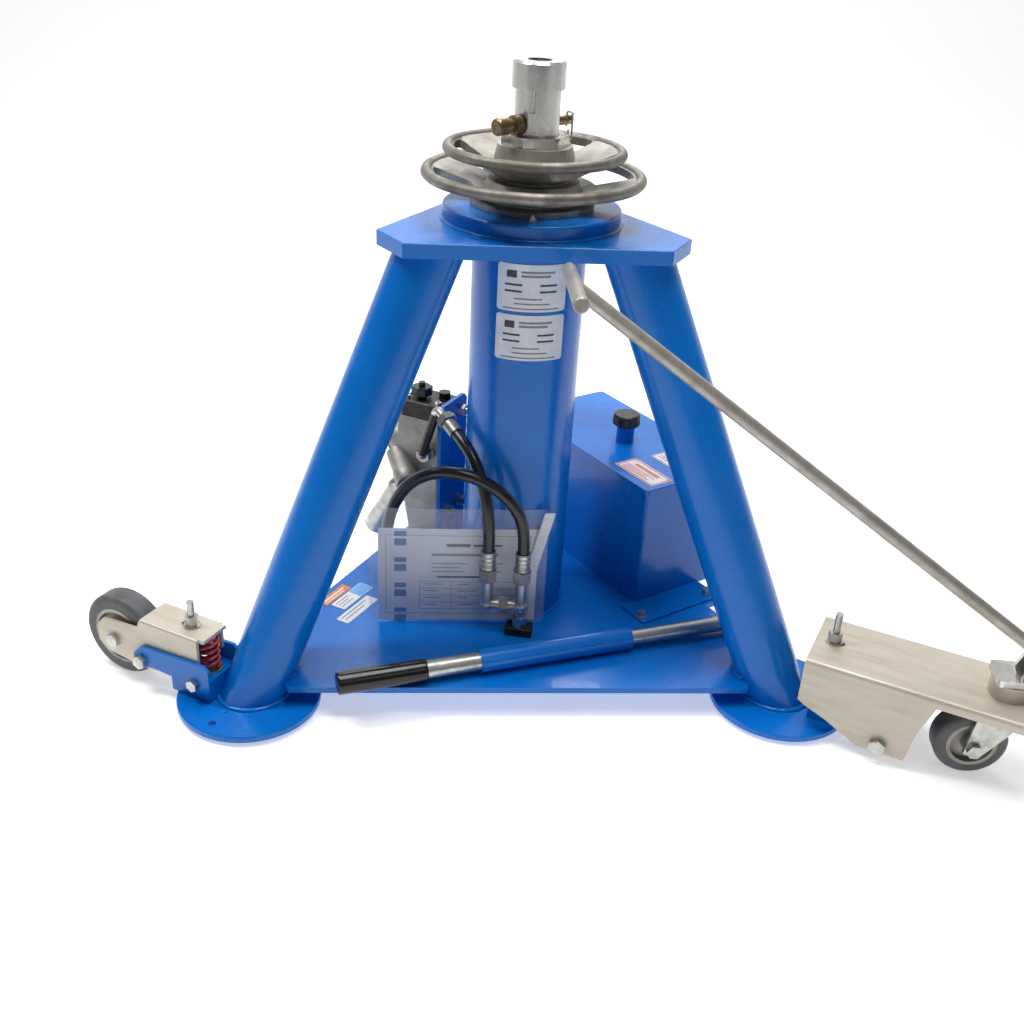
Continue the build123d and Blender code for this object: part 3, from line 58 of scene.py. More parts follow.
HOSE_R = 0.009
PRESSURE_LENGTH, RETURN_LENGTH = 0.194, 0.472
PRESSURE_ROUTE = [
    (0.015, -0.117, 0.181), (0.015, -0.117, 0.210), (0.011, -0.116, 0.240), (0.003, -0.112, 0.269),
    (-0.010, -0.106, 0.295), (-0.028, -0.097, 0.316), (-0.050, -0.085, 0.329), (-0.065, -0.077, 0.335),
]
RETURN_ROUTE = [
    (0.062, -0.096, 0.181), (0.062, -0.096, 0.214), (0.054, -0.101, 0.246), (0.036, -0.110, 0.273),
    (0.011, -0.121, 0.293), (-0.019, -0.133, 0.304), (-0.051, -0.141, 0.304), (-0.083, -0.145, 0.291),
    (-0.110, -0.147, 0.267), (-0.128, -0.149, 0.236), (-0.138, -0.150, 0.203),
    (-0.144, -0.147, 0.170), (-0.149, -0.127, 0.136), (-0.152, -0.092, 0.116), (-0.152, -0.072, 0.116),
]

LEG_ANGLES = (0.0, 120.0, 240.0)
LEG_R, LEG_LEAN = 0.0453, 0.4604         # leg tube radius, and how far it leans in per metre up
LEG_FOOT_R = 0.4444                      # leg axis from the ram axis at the pads' undersides
WELD_GAP = 0.0006                        # weld beads' middles outside the tube they run round
LOCK_WHEEL_RIMS = (                      # node, and the radius where its rim starts; the rim takes a darker cast copy, painted shade
    ("lower_lock_wheel", 0.1345), ("upper_lock_wheel", 0.1065),
)
PUMP_PIPE_X = -0.104                     # the black pipe is the port fittings' part beyond this
PUMP_PIPE_LOW, PUMP_PIPE_HIGH = 0.272, 0.344
SPECIAL_FINISH = {"tow_bar": "satin_steel", "hose_ferrules": "dull_steel"}
SHEET_LIFT = 0.0003                      # labels above the surface they are stuck on
TANK_LID_TOP, VALVE_BLOCK_TOP = 0.245, 0.345
SPRING_WIRE, SPRING_COILS = 0.0024, 5
SPRING_STEPS, SPRING_SIDES = 32, 14      # stations per coil, and corners round the wire
SPRINGS = (                              # node, joint, and the height kept at the joint's limit
    ("caster_spring_left", "rear_arm_left_hinge", 0.76),
    ("caster_spring_right", "rear_arm_right_hinge", 0.76),
    ("caster_spring_tow", "front_arm_hinge", 0.90),
)
POUCH_W, POUCH_H = 0.268, 0.194

SWEEP_START, SWEEP_R = 2.2, 1.6          # where the floor starts to curve up, and its radius
SWEEP_NEAR, SWEEP_WALL, SWEEP_HALF = -5.0, 6.0, 9.0
SWEEP_STEPS = 16
LAMP_TARGET = (0.1, 0.0, 0.3)
LAMPS = [                                # name, place, width and depth, watts
    ("key", (-1.5, -0.7, 2.9), (0.5, 1.3), 52.0), ("fill", (2.2, -1.6, 2.2), (0.9, 0.9), 2.5),
    ("overhead", (0.3, 0.1, 3.2), (2.4, 1.0), 60.0), ("rim", (-1.0, 2.2, 2.4), (1.4, 0.6), 20.0),
]

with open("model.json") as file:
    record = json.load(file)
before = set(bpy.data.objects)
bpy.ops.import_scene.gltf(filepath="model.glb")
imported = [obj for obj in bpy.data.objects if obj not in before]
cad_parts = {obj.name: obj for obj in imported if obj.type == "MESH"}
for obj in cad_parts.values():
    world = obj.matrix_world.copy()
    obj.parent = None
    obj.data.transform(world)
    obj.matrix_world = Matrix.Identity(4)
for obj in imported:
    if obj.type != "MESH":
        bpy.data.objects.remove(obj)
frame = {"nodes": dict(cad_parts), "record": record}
nodes = frame["nodes"]
cad_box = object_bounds()
materials = {}

PAD_TOP, BASE_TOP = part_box("foot_pads")[1].z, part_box("base_plate")[1].z
HEAD_LOW, HEAD_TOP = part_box("top_plate")[0].z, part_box("top_plate")[1].z
COLUMN_R, COLLAR_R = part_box("column_tube")[1].x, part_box("collar_ring")[1].x
COLLAR_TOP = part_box("collar_ring")[1].z
FLOOR_Z = cad_box[0].z
LEG_WELDS = (                            # place, height, bead radius and how far round each way, in degrees
    ("pad", PAD_TOP, 0.0042, 180.0), ("base", BASE_TOP, 0.0034, 62.0), ("head", HEAD_LOW, 0.0038, 180.0),
)


# ---------------------------------------------------------------- small helpers
def polar(radius, angle, z=0.0):
    """A point at a radius and an angle, in degrees, about the ram axis."""
    return Vector((radius * cos(radians(angle)), radius * sin(radians(angle)), z))


def link(obj, body, material):
    """Put an object in the scene, with its material, riding on a body."""
    bpy.context.scene.collection.objects.link(obj)
    obj.data.materials.append(materials[material])
    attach(obj, body)
    return obj


def mesh_object(name, mesh_data):
    """An object from a finished bmesh, shaded smooth with sharp edges kept."""
    mesh = bpy.data.meshes.new(name)
    mesh_data.to_mesh(mesh)
    mesh_data.free()
    mesh.shade_smooth()
    mesh.set_sharp_from_angle(angle=radians(38))
    return bpy.data.objects.new(name, mesh)


def curve_object(name, points, radius, cyclic=False, resolution=8, rings=6):
    """A round bar or cord along a NURBS line through control points."""
    data = bpy.data.curves.new(name, "CURVE")
    data.dimensions = "3D"
    data.bevel_depth = radius
    data.bevel_resolution = rings
    data.use_fill_caps = not cyclic
    data.resolution_u = resolution
    spline = data.splines.new("NURBS")
    spline.points.add(len(points) - 1)
    for point, at in zip(spline.points, points):
        point.co = (at[0], at[1], at[2], 1.0)
    spline.order_u = 3
    spline.use_endpoint_u = not cyclic
    spline.use_cyclic_u = cyclic
    return bpy.data.objects.new(name, data)


# ---------------------------------------------------------------- camera and hoses
def make_camera():
    """The camera, with its slight roll."""
    azimuth, elevation = radians(CAMERA_AZIMUTH), radians(CAMERA_ELEVATION)
    forward = Vector((-sin(azimuth) * cos(elevation), cos(azimuth) * cos(elevation), -sin(elevation)))
    turn = forward.to_track_quat("-Z", "Y") @ Quaternion((0, 0, 1), radians(CAMERA_ROLL))
    data = bpy.data.cameras.new("camera")
    data.lens = CAMERA_LENS
    data.sensor_width = CAMERA_SENSOR
    camera = bpy.data.objects.new("camera", data)
    camera.matrix_world = Matrix.Translation(CAMERA_AT) @ turn.to_matrix().to_4x4()
    bpy.context.scene.collection.objects.link(camera)
    bpy.context.scene.camera = camera


def make_hoses():
    """The two hydraulic hoses between the pump and the column's port."""
    hoses = [("pressure_hose", PRESSURE_ROUTE, PRESSURE_LENGTH), ("return_hose", RETURN_ROUTE, RETURN_LENGTH)]
    for name, route, length in hoses:
        hose = curve_object(f"{name}_rubber", route, HOSE_R, resolution=12, rings=8)
        link(hose, "frame", "hose_rubber")
        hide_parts(name)


# ---------------------------------------------------------------- material building blocks
class Shader:
    """A principled material and the few node helpers that the recipes below share."""

    def __init__(self, name, **sockets):
        self.material = bpy.data.materials.new(name)
        self.material.use_nodes = True
        self.tree = self.material.node_tree
        self.surface = self.tree.nodes["Principled BSDF"]
        for key, value in sockets.items():
            self.surface.inputs[key.replace("_", " ")].default_value = value
        materials[name] = self.material
        self.place = self.tree.nodes.new("ShaderNodeTexCoord").outputs["Object"]

    def stretched(self, scale):
        """The object's coordinates, scaled separately along X, Y and Z."""
        node = self.tree.nodes.new("ShaderNodeMapping")
        node.inputs["Scale"].default_value = scale
        self.tree.links.new(self.place, node.inputs["Vector"])
        return node.outputs["Vector"]

    def noise(self, scale, detail=3.0, roughness=0.55, vector=None, distortion=0.0):
        """Fractal noise with a scale in cycles per metre."""
        node = self.tree.nodes.new("ShaderNodeTexNoise")
        node.inputs["Scale"].default_value = scale
        node.inputs["Detail"].default_value = detail
        node.inputs["Roughness"].default_value = roughness
        node.inputs["Distortion"].default_value = distortion
        self.tree.links.new(vector or self.place, node.inputs["Vector"])
        return node.outputs["Fac"]

    def ramp(self, value, stops):
        """Colours along a value: stops are (position, colour)."""
        node = self.tree.nodes.new("ShaderNodeValToRGB")
        elements = node.color_ramp.elements
        while len(elements) < len(stops):
            elements.new(0.5)
        for element, (position, colour) in zip(elements, stops):
            element.position = position
            element.color = (*colour, 1.0)
        self.tree.links.new(value, node.inputs["Fac"])
        return node.outputs["Color"]

    def between(self, value, low, high, start=0.3, end=0.7):
        """A value mapped onto a range."""
        node = self.tree.nodes.new("ShaderNodeMapRange")
        node.inputs["From Min"].default_value = start
        node.inputs["From Max"].default_value = end
        node.inputs["To Min"].default_value = low
        node.inputs["To Max"].default_value = high
        self.tree.links.new(value, node.inputs["Value"])
        return node.outputs["Result"]

    def bump(self, *layers):
        """Stacked bumps: each layer is (height, depth in metres, strength)."""
        normal = None
        for height, depth, strength in layers:
            node = self.tree.nodes.new("ShaderNodeBump")
            node.inputs["Distance"].default_value = depth
            node.inputs["Strength"].default_value = strength
            self.tree.links.new(height, node.inputs["Height"])
            if normal:
                self.tree.links.new(normal, node.inputs["Normal"])
            normal = node.outputs["Normal"]
        self.tree.links.new(normal, self.surface.inputs["Normal"])

    def drive(self, socket, value):
        """Connect a texture to one of the shader's sockets."""
        self.tree.links.new(value, self.surface.inputs[socket])


def make_paints():
    """Gloss blue, sand-coloured and red paint."""
    blue = Shader("blue_paint", Coat_Weight=0.20, Coat_Roughness=0.04, Specular_IOR_Level=0.30)
    blue.drive("Base Color", blue.ramp(blue.noise(2.6, 4.0), [
        (0.30, (0.0, 0.135, 0.500)), (0.55, (0.0, 0.160, 0.590)), (0.75, (0.0, 0.185, 0.660))]))
    blue.drive("Roughness", blue.between(blue.noise(11.0, 5.0), 0.20, 0.36))
    blue.bump((blue.noise(240.0, 2.0), 0.0003, 0.14), (blue.noise(14.0, 2.0), 0.0012, 0.16))

    sand = Shader("beige_paint", Metallic=0.25, Coat_Weight=0.15, Coat_Roughness=0.3)
    scuffs = sand.noise(9.0, 6.0, 0.65, sand.stretched((1.0, 6.0, 6.0)))
    sand.drive("Base Color", sand.ramp(scuffs, [
        (0.25, (0.47, 0.410, 0.320)), (0.50, (0.580, 0.520, 0.420)), (0.80, (0.64, 0.58, 0.48))]))
    sand.drive("Roughness", sand.between(scuffs, 0.50, 0.34))
    sand.bump((sand.noise(500.0, 2.0), 0.0002, 0.20), (sand.noise(30.0, 3.0), 0.0006, 0.15))

    red = Shader("red_paint", Coat_Weight=0.6, Coat_Roughness=0.08)
    red.drive("Base Color", red.ramp(red.noise(60.0, 4.0), [
        (0.3, (0.30, 0.004, 0.006)), (0.7, (0.55, 0.012, 0.012))]))
    red.drive("Roughness", red.between(red.noise(90.0), 0.22, 0.38))
    red.bump((red.noise(600.0, 2.0), 0.0001, 0.2))


def make_metals():
    """Castings, with a darker copy for the lock wheels' rims as painted shade, plated, turned and chromed
    steel, and bronze.
    """
    cast = Shader("cast_aluminium", Metallic=0.72)
    stain = cast.noise(14.0, 7.0, 0.62, distortion=0.4)
    cast.drive("Base Color", cast.ramp(stain, [
        (0.28, (0.210, 0.195, 0.165)), (0.48, (0.360, 0.345, 0.305)), (0.72, (0.520, 0.505, 0.460))]))
    cast.drive("Roughness", cast.between(cast.noise(40.0, 5.0), 0.42, 0.64))
    cast.bump((cast.noise(520.0, 4.0, 0.7), 0.0005, 0.45), (cast.noise(60.0, 3.0), 0.0012, 0.35))

    # Lock wheels' rims: the cast aluminium made darker as painted shade, with a mottled tone and roughness
    rim = Shader("shaded_cast_rim", Metallic=0.65)
    rim_shade_mottle = rim.noise(22.0, 7.0, 0.65, distortion=0.5)
    rim.drive("Base Color", rim.ramp(rim_shade_mottle, [
        (0.28, (0.110, 0.098, 0.080)), (0.50, (0.215, 0.200, 0.170)), (0.75, (0.360, 0.345, 0.305))]))
    rim.drive("Roughness", rim.between(rim_shade_mottle, 0.62, 0.40))
    rim.bump((rim.noise(420.0, 4.0, 0.7), 0.0006, 0.5), (rim.noise(40.0, 3.0), 0.0016, 0.4))

    satin = Shader("satin_steel", Metallic=0.55)
    dulled = satin.noise(40.0, 6.0, 0.6)
    satin.drive("Base Color", satin.ramp(dulled, [
        (0.28, (0.300, 0.270, 0.225)), (0.50, (0.420, 0.390, 0.340)), (0.78, (0.520, 0.495, 0.445))]))
    satin.drive("Roughness", satin.between(dulled, 0.52, 0.36))
    satin.bump((satin.noise(600.0, 3.0), 0.0002, 0.3))

    bright = Shader("bright_steel", Metallic=1.0, Anisotropic=0.3)
    marks = bright.noise(30.0, 6.0, 0.6, bright.stretched((1.0, 1.0, 0.12)))
    bright.drive("Base Color", bright.ramp(marks, [
        (0.25, (0.46, 0.445, 0.415)), (0.55, (0.66, 0.65, 0.625)), (0.80, (0.76, 0.755, 0.74))]))
    bright.drive("Roughness", bright.between(bright.noise(55.0, 6.0), 0.18, 0.36))
    bright.bump((bright.noise(420.0, 2.0, 0.5, bright.stretched((0.2, 0.2, 3.0))), 0.0001, 0.18))

    zinc = Shader("zinc_steel", Metallic=1.0)
    spangle = zinc.noise(70.0, 5.0, 0.6)
    zinc.drive("Base Color", zinc.ramp(spangle, [
        (0.25, (0.34, 0.335, 0.30)), (0.50, (0.50, 0.50, 0.465)), (0.75, (0.64, 0.635, 0.60))]))
    zinc.drive("Roughness", zinc.between(spangle, 0.48, 0.26))
    zinc.bump((zinc.noise(900.0, 2.0), 0.0001, 0.25))

    dull = Shader("dull_steel", Metallic=1.0)
    dull.drive("Base Color", dull.ramp(dull.noise(35.0, 6.0), [
        (0.3, (0.22, 0.21, 0.20)), (0.7, (0.42, 0.41, 0.39))]))
    dull.drive("Roughness", dull.between(dull.noise(60.0), 0.35, 0.55))
    dull.bump((dull.noise(700.0, 3.0), 0.0002, 0.3))

    chrome = Shader("chrome", Metallic=1.0)
    chrome.drive("Base Color", chrome.ramp(chrome.noise(18.0, 3.0), [
        (0.3, (0.62, 0.62, 0.63)), (0.7, (0.78, 0.78, 0.79))]))
    chrome.drive("Roughness", chrome.between(chrome.noise(80.0, 5.0), 0.05, 0.14))
    chrome.bump((chrome.noise(900.0, 2.0), 0.00005, 0.1))

    bronze = Shader("bronze", Metallic=0.9)
    patina = bronze.noise(90.0, 6.0, 0.65)
    bronze.drive("Base Color", bronze.ramp(patina, [
        (0.28, (0.120, 0.080, 0.040)), (0.52, (0.300, 0.215, 0.120)), (0.78, (0.520, 0.420, 0.270))]))
    bronze.drive("Roughness", bronze.between(patina, 0.48, 0.22))
    bronze.bump((bronze.noise(700.0, 3.0), 0.0002, 0.3))

    oxide = Shader("black_oxide", Metallic=0.55)
    oxide.drive("Base Color", oxide.ramp(oxide.noise(50.0, 5.0), [
        (0.30, (0.012, 0.011, 0.010)), (0.75, (0.055, 0.047, 0.038))]))
    oxide.drive("Roughness", oxide.between(oxide.noise(70.0, 4.0), 0.28, 0.50))
    oxide.bump((oxide.noise(600.0, 3.0), 0.0003, 0.35))


def make_rubbers():
    """Hose, grip, tyre and seal rubber, and moulded black plastic."""
    recipes = [
        ("hose_rubber", (0.006, 0.006, 0.007), (0.022, 0.021, 0.020), 30.0, 0.20, 0.36, 700.0, 0.0002),
        ("grip_rubber", (0.003, 0.003, 0.003), (0.009, 0.009, 0.009), 40.0, 0.14, 0.26, 900.0, 0.0001),
        ("seal_rubber", (0.010, 0.010, 0.010), (0.025, 0.025, 0.025), 40.0, 0.45, 0.60, 600.0, 0.0001),
        ("grey_tyre", (0.060, 0.060, 0.063), (0.150, 0.150, 0.155), 26.0, 0.42, 0.66, 420.0, 0.0005),
        ("black_plastic", (0.006, 0.006, 0.007), (0.020, 0.020, 0.021), 35.0, 0.26, 0.44, 1100.0, 0.0002),
    ]
    for name, dark, light, scale, smooth, rough, grain, depth in recipes:
        shader = Shader(name)
        patches = shader.noise(scale, 6.0, 0.62)
        shader.drive("Base Color", shader.ramp(patches, [(0.30, dark), (0.72, light)]))
        shader.drive("Roughness", shader.between(patches, smooth, rough))
        shader.bump((shader.noise(grain, 3.0), depth, 0.35))


def make_prints():
    """Label stock, inks and the clear vinyl of the document pouch."""
    paper = Shader("label_paper", Roughness=0.42, Coat_Weight=0.25, Coat_Roughness=0.15)
    paper.drive("Base Color", paper.ramp(paper.noise(45.0, 5.0), [
        (0.3, (0.66, 0.68, 0.70)), (0.7, (0.80, 0.81, 0.82))]))
    paper.bump((paper.noise(900.0, 2.0), 0.00005, 0.2))
    sheet = Shader("document_paper", Roughness=0.6)
    sheet.drive("Base Color", sheet.ramp(sheet.noise(30.0, 5.0), [
        (0.3, (0.74, 0.76, 0.80)), (0.7, (0.86, 0.87, 0.89))]))
    sheet.bump((sheet.noise(14.0, 2.0), 0.0012, 0.35))
    inks = {
        "ink_black": (0.030, 0.032, 0.036), "ink_grey": (0.20, 0.21, 0.23), "ink_blue": (0.008, 0.16, 0.42),
        "ink_red": (0.62, 0.075, 0.045), "ink_orange": (0.60, 0.17, 0.045),
        "ink_pale_blue": (0.12, 0.34, 0.72),
    }
    for name, colour in inks.items():
        ink = Shader(name, Roughness=0.45)
        light = tuple(min(1.0, 1.35 * part + 0.01) for part in colour)
        ink.drive("Base Color", ink.ramp(ink.noise(180.0, 4.0), [(0.35, colour), (0.75, light)]))
        ink.bump((ink.noise(900.0, 2.0), 0.00005, 0.2))
    vinyl = Shader("clear_vinyl", Alpha=0.13, Roughness=0.10, Coat_Weight=0.6, Coat_Roughness=0.04, IOR=1.5)
    vinyl.drive("Base Color", vinyl.ramp(vinyl.noise(9.0, 3.0), [
        (0.3, (0.70, 0.74, 0.80)), (0.7, (0.86, 0.88, 0.92))]))
    vinyl.bump((vinyl.noise(22.0, 3.0, distortion=0.6), 0.004, 0.5))


def second_material(node, material, belongs):
    """Faces of a CAD node whose middles pass the test take another material."""
    mesh = nodes[node].data
    mesh.materials.append(materials[material])
    for face in mesh.polygons:
        if belongs(face.center):
            face.material_index = 1


def dress_nodes():
    """Every CAD node gets its slot's material, except for rims darkened with painted shade, a black pipe and
    a satin tow bar.
    """
    for entry in frame["record"]["subparts"]:
        obj = nodes[entry["node"]]
        material = SPECIAL_FINISH.get(entry["node"], entry["material_slot"])
        obj.data.materials.clear()
        obj.data.materials.append(materials[material])
        obj.data.shade_smooth()
        obj.data.set_sharp_from_angle(angle=radians(34))
    # The rims beyond these radii take the darker cast copy, painted shade
    for node, rim_start in LOCK_WHEEL_RIMS:
        second_material(node, "shaded_cast_rim", lambda at, inner=rim_start: at.xy.length > inner)
    second_material("port_fittings", "hose_rubber",
                    lambda at: at.x < PUMP_PIPE_X and PUMP_PIPE_LOW < at.z < PUMP_PIPE_HIGH)


# ---------------------------------------------------------------- labels, stickers and the pouch
def printed_sheet(name, size, corner, thickness, marks, place, stock):
    """A thin sheet with raised ink: place maps (across, up, lift) to the row frame.

    marks are (left, low, right, high, ink), measured from the sheet's centre.
    """
    data = bmesh.new()
    width, height = size
    inks = [stock]

    def strip(left, low, right, high, lift, deep, round_r, index):
        steps = max(1, int((right - left) / 0.006))
        if round_r:
            stations = [left + round_r * (1 - cos(pi / 2 * k / 5)) for k in range(6)]
            inner = right - left - 2 * round_r
            stations += [left + round_r + inner * k / steps for k in range(1, steps)]
            stations += [right - round_r * (1 - cos(pi / 2 * k / 5)) for k in range(5, -1, -1)]
        else:
            stations = [left + (right - left) * k / steps for k in range(steps + 1)]
        rows = []
        for across in stations:
            gap = max(0.0, round_r - min(across - left, right - across)) if round_r else 0.0
            drop = round_r - sqrt(max(0.0, round_r ** 2 - gap ** 2))
            rows.append([data.verts.new(place(across, edge, level))
                         for level in (lift, lift - deep) for edge in (low + drop, high - drop)])
        faces = []
        for a, b in zip(rows, rows[1:]):
            faces.append(data.faces.new((a[0], b[0], b[1], a[1])))
            faces.append(data.faces.new((a[2], a[3], b[3], b[2])))
            faces.append(data.faces.new((a[0], a[2], b[2], b[0])))
            faces.append(data.faces.new((a[1], b[1], b[3], a[3])))
        faces.append(data.faces.new((rows[0][0], rows[0][1], rows[0][3], rows[0][2])))
        faces.append(data.faces.new((rows[-1][0], rows[-1][2], rows[-1][3], rows[-1][1])))
        for face in faces:
            face.material_index = index

    strip(-width / 2, -height / 2, width / 2, height / 2, thickness, thickness, corner, 0)
    for left, low, right, high, ink in marks:
        if ink not in inks:
            inks.append(ink)
        strip(left, low, right, high, thickness + 0.00012, 0.0001, 0.0, inks.index(ink))
    bmesh.ops.remove_doubles(data, verts=data.verts, dist=1e-7)
    obj = mesh_object(name, data)
    for ink in inks:
        obj.data.materials.append(materials[ink])
    bpy.context.scene.collection.objects.link(obj)
    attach(obj, "frame")
    return obj


def text_rows(left, right, top, rows, pitch, thick, ink, words=(0.9, 0.7, 0.84, 0.6)):
    """Plain bars where a label has lines of print, of uneven length."""
    marks = []
    for row in range(rows):
        reach = left + (right - left) * words[row % len(words)]
        marks.append((left, top - row * pitch - thick, reach, top - row * pitch, ink))
    return marks


def border(width, height, inset, thick, ink):
    """A ruled frame inside a sheet's edge."""
    right, high = width / 2 - inset, height / 2 - inset
    return [(-right, high - thick, right, high, ink), (-right, -high, right, -high + thick, ink),
            (-right, -high, -right + thick, high, ink), (right - thick, -high, right, high, ink)]


def flat_place(origin, across, up):
    """A mapping onto a plane."""
    across, up = Vector(across).normalized(), Vector(up).normalized()
    normal = across.cross(up)
    return lambda x, y, lift: Vector(origin) + across * x + up * y + normal * lift


def make_column_labels():
    """Two plates on the cylinder: a block mark, four data bars and lines of print."""
    for index, middle in enumerate((0.5705, 0.5005)):
        def place(across, up, lift, middle=middle):
            return polar(COLUMN_R + SHEET_LIFT + lift, -60.0 + across / COLUMN_R * 180 / pi, middle + up)
        marks = [(-0.036, 0.014, -0.022, 0.024, "ink_black"), (-0.016, 0.015, 0.024, 0.0185, "ink_grey"),
                 (-0.016, 0.0205, 0.030, 0.0235, "ink_grey")]
        for row in (0.003, -0.006):
            marks.append((-0.038, row, -0.014, row + 0.0028, "ink_black"))
            marks.append((0.010, row, 0.034, row + 0.0028, "ink_black"))
        marks += text_rows(-0.024, 0.030, -0.0135, 2, 0.007, 0.0022, "ink_grey", (0.7, 0.9))
        marks += [(-0.040, -0.0295, 0.038, -0.0275, "ink_grey")]
        printed_sheet(f"column_label_{index + 1}", (0.098, 0.065), 0.004, 0.0004, marks, place, "label_paper")


def make_tank_labels():
    """The bordered label near the lid's edge and the smaller one beside it."""
    along, away = polar(1.0, -30.0), polar(1.0, 60.0)
    lid = Vector((0, 0, TANK_LID_TOP + SHEET_LIFT))
    marks = border(0.091, 0.043, 0.0016, 0.0026, "ink_red")
    marks += text_rows(-0.028, 0.028, 0.0115, 1, 0.01, 0.0075, "ink_orange", (1.0,))
    marks += text_rows(-0.036, 0.036, -0.001, 3, 0.0052, 0.0022, "ink_red")
    place = flat_place(lid + Vector((0.1595, 0.1265, 0)), along, away)
    printed_sheet("tank_label_large", (0.091, 0.043), 0.002, 0.0003, marks, place, "label_paper")
    marks = border(0.050, 0.032, 0.0014, 0.0018, "ink_orange")
    marks += text_rows(-0.018, 0.018, 0.008, 3, 0.006, 0.0024, "ink_grey")
    place = flat_place(lid + Vector((0.178, 0.190, 0)), along, away)
    printed_sheet("tank_label_small", (0.050, 0.032), 0.002, 0.0003, marks, place, "label_paper")


def make_base_stickers():
    """Three stickers near the base plate's rear edge."""
    base = Vector((0, 0, BASE_TOP + SHEET_LIFT))
    across = Vector((cos(radians(88)), sin(radians(88)), 0))
    up = Vector((-across.y, across.x, 0))
    stickers = [
        ("sticker_orange", (-0.236, -0.153), (0.064, 0.018), "ink_orange",
         [(-0.027, 0.0, 0.024, 0.003, "label_paper"), (-0.027, -0.005, 0.018, -0.003, "label_paper")]),
        ("sticker_blue", (-0.211, -0.141), (0.078, 0.026), "label_paper",
         [(0.006, -0.012, 0.038, 0.012, "ink_pale_blue"),
          *text_rows(-0.034, 0.0, 0.008, 3, 0.006, 0.002, "ink_grey")]),
        ("sticker_white", (-0.183, -0.169), (0.081, 0.022), "label_paper",
         text_rows(-0.034, 0.034, 0.006, 2, 0.007, 0.0024, "ink_grey")),
    ]
    for name, at, size, stock, marks in stickers:
        place = flat_place(base + Vector((at[0], at[1], 0)), across, up)
        printed_sheet(name, size, 0.002, 0.0003, marks, place, stock)


def make_pouch():
    """The vinyl pouch leaning on the column, bowed a little, with a ruled sheet of paper in it."""
    along, lean = polar(1.0, 30.0), radians(2.4)
    out = Vector((0.5 * cos(lean), -cos(radians(30)) * cos(lean), sin(lean)))
    up = out.cross(along).normalized()
    foot = polar(0.0905, 300.0, BASE_TOP + 0.001) + along * -0.089

    def place(across, high, lift):
        bow = 0.0035 * (1 - (2 * across / POUCH_W) ** 2) * (high / POUCH_H + 0.5)
        return foot + along * across + up * (high + POUCH_H / 2) + out * (lift + bow - 0.0042)

    vinyl = printed_sheet("pouch_vinyl", (POUCH_W, POUCH_H), 0.008, 0.0012, [], place, "clear_vinyl")
    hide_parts("document_pouch")

    def on_paper(across, high, lift):
        return place(across, high - 0.0155, lift - 0.0007)

    width, height = 0.240, 0.158
    marks = border(width, height, 0.011, 0.0008, "ink_grey")
    left = -width / 2 + 0.024
    for low in (-0.066, -0.022, 0.022, 0.066):
        marks.append((left, low - 0.016, left + 0.018, low - 0.004, "ink_blue"))
        marks.append((left, low, left + 0.018, low + 0.008, "ink_blue"))
    marks += [(-0.018, 0.049, 0.018, 0.054, "ink_black"), (0.022, 0.0495, 0.066, 0.053, "ink_black"),
              (-0.040, 0.033, 0.060, 0.0375, "ink_grey")]
    marks += text_rows(-0.040, 0.020, 0.021, 3, 0.007, 0.0016, "ink_grey")
    marks += text_rows(0.040, 0.070, 0.021, 3, 0.007, 0.0016, "ink_grey")
    marks += [(-0.032, -0.0045, 0.050, -0.0015, "ink_black")]
    for row in (-0.012, -0.024, -0.036, -0.048, -0.060):
        marks.append((-0.058, row, 0.098, row + 0.0007, "ink_grey"))
    for column in (-0.058, -0.010, 0.046, 0.0973):
        marks.append((column, -0.060, column + 0.0007, -0.012, "ink_grey"))
    marks += text_rows(-0.050, -0.020, -0.015, 4, 0.012, 0.0014, "ink_grey")
    marks += text_rows(0.000, 0.036, -0.015, 4, 0.012, 0.0014, "ink_grey", (0.5, 0.8, 0.4, 0.7))
    paper = printed_sheet("pouch_paper", (width, height), 0.001, 0.0002, marks, on_paper, "document_paper")
    for side, offset in (("left", -POUCH_W / 2 + 0.004), ("right", POUCH_W / 2 - 0.004)):
        seam = [place(offset, -POUCH_H / 2 + 0.008 + 0.0178 * k, 0.0014) for k in range(11)]
        bead = curve_object(f"pouch_seam_{side}", [tuple(p) for p in seam], 0.0007, rings=2)
        link(bead, "frame", "clear_vinyl")

    def on_slip(across, high, lift):
        curl = 0.010 * (high / 0.11 + 0.5) ** 2
        return place(0.123 + across + 0.22 * high, high + 0.045, lift + curl)

    slip_marks = text_rows(-0.004, 0.004, 0.040, 7, 0.012, 0.004, "ink_blue", (1.0, 0.6, 0.9))
    slip = printed_sheet("pouch_slip", (0.016, 0.100), 0.001, 0.0004, slip_marks, on_slip, "document_paper")


# ---------------------------------------------------------------- welds and small fittings
def weld_bead(name, centre, radii, turn, radius, half_span=180.0):
    """A weld bead round a tube: an ellipse, or an arc of one, with a slight ripple.

    The arc is half_span degrees each way of the far side from the direction of turn.
    """
    closed = half_span >= 180.0
    count = 44
    points = []
    for k in range(count):
        angle = pi + radians(half_span) * (2 * k / count - 1)
        ripple = 1.0 + 0.008 * sin(k * 2.4)
        x, y = radii[0] * ripple * cos(angle), radii[1] * ripple * sin(angle)
        local = Vector((x, y, 0.0004 * sin(k * 3.1)))
        points.append(tuple(Vector(centre) + Matrix.Rotation(radians(turn), 3, "Z") @ local))
    bead = curve_object(name, points, radius, cyclic=closed, resolution=3, rings=3)
    link(bead, "frame", "blue_paint")


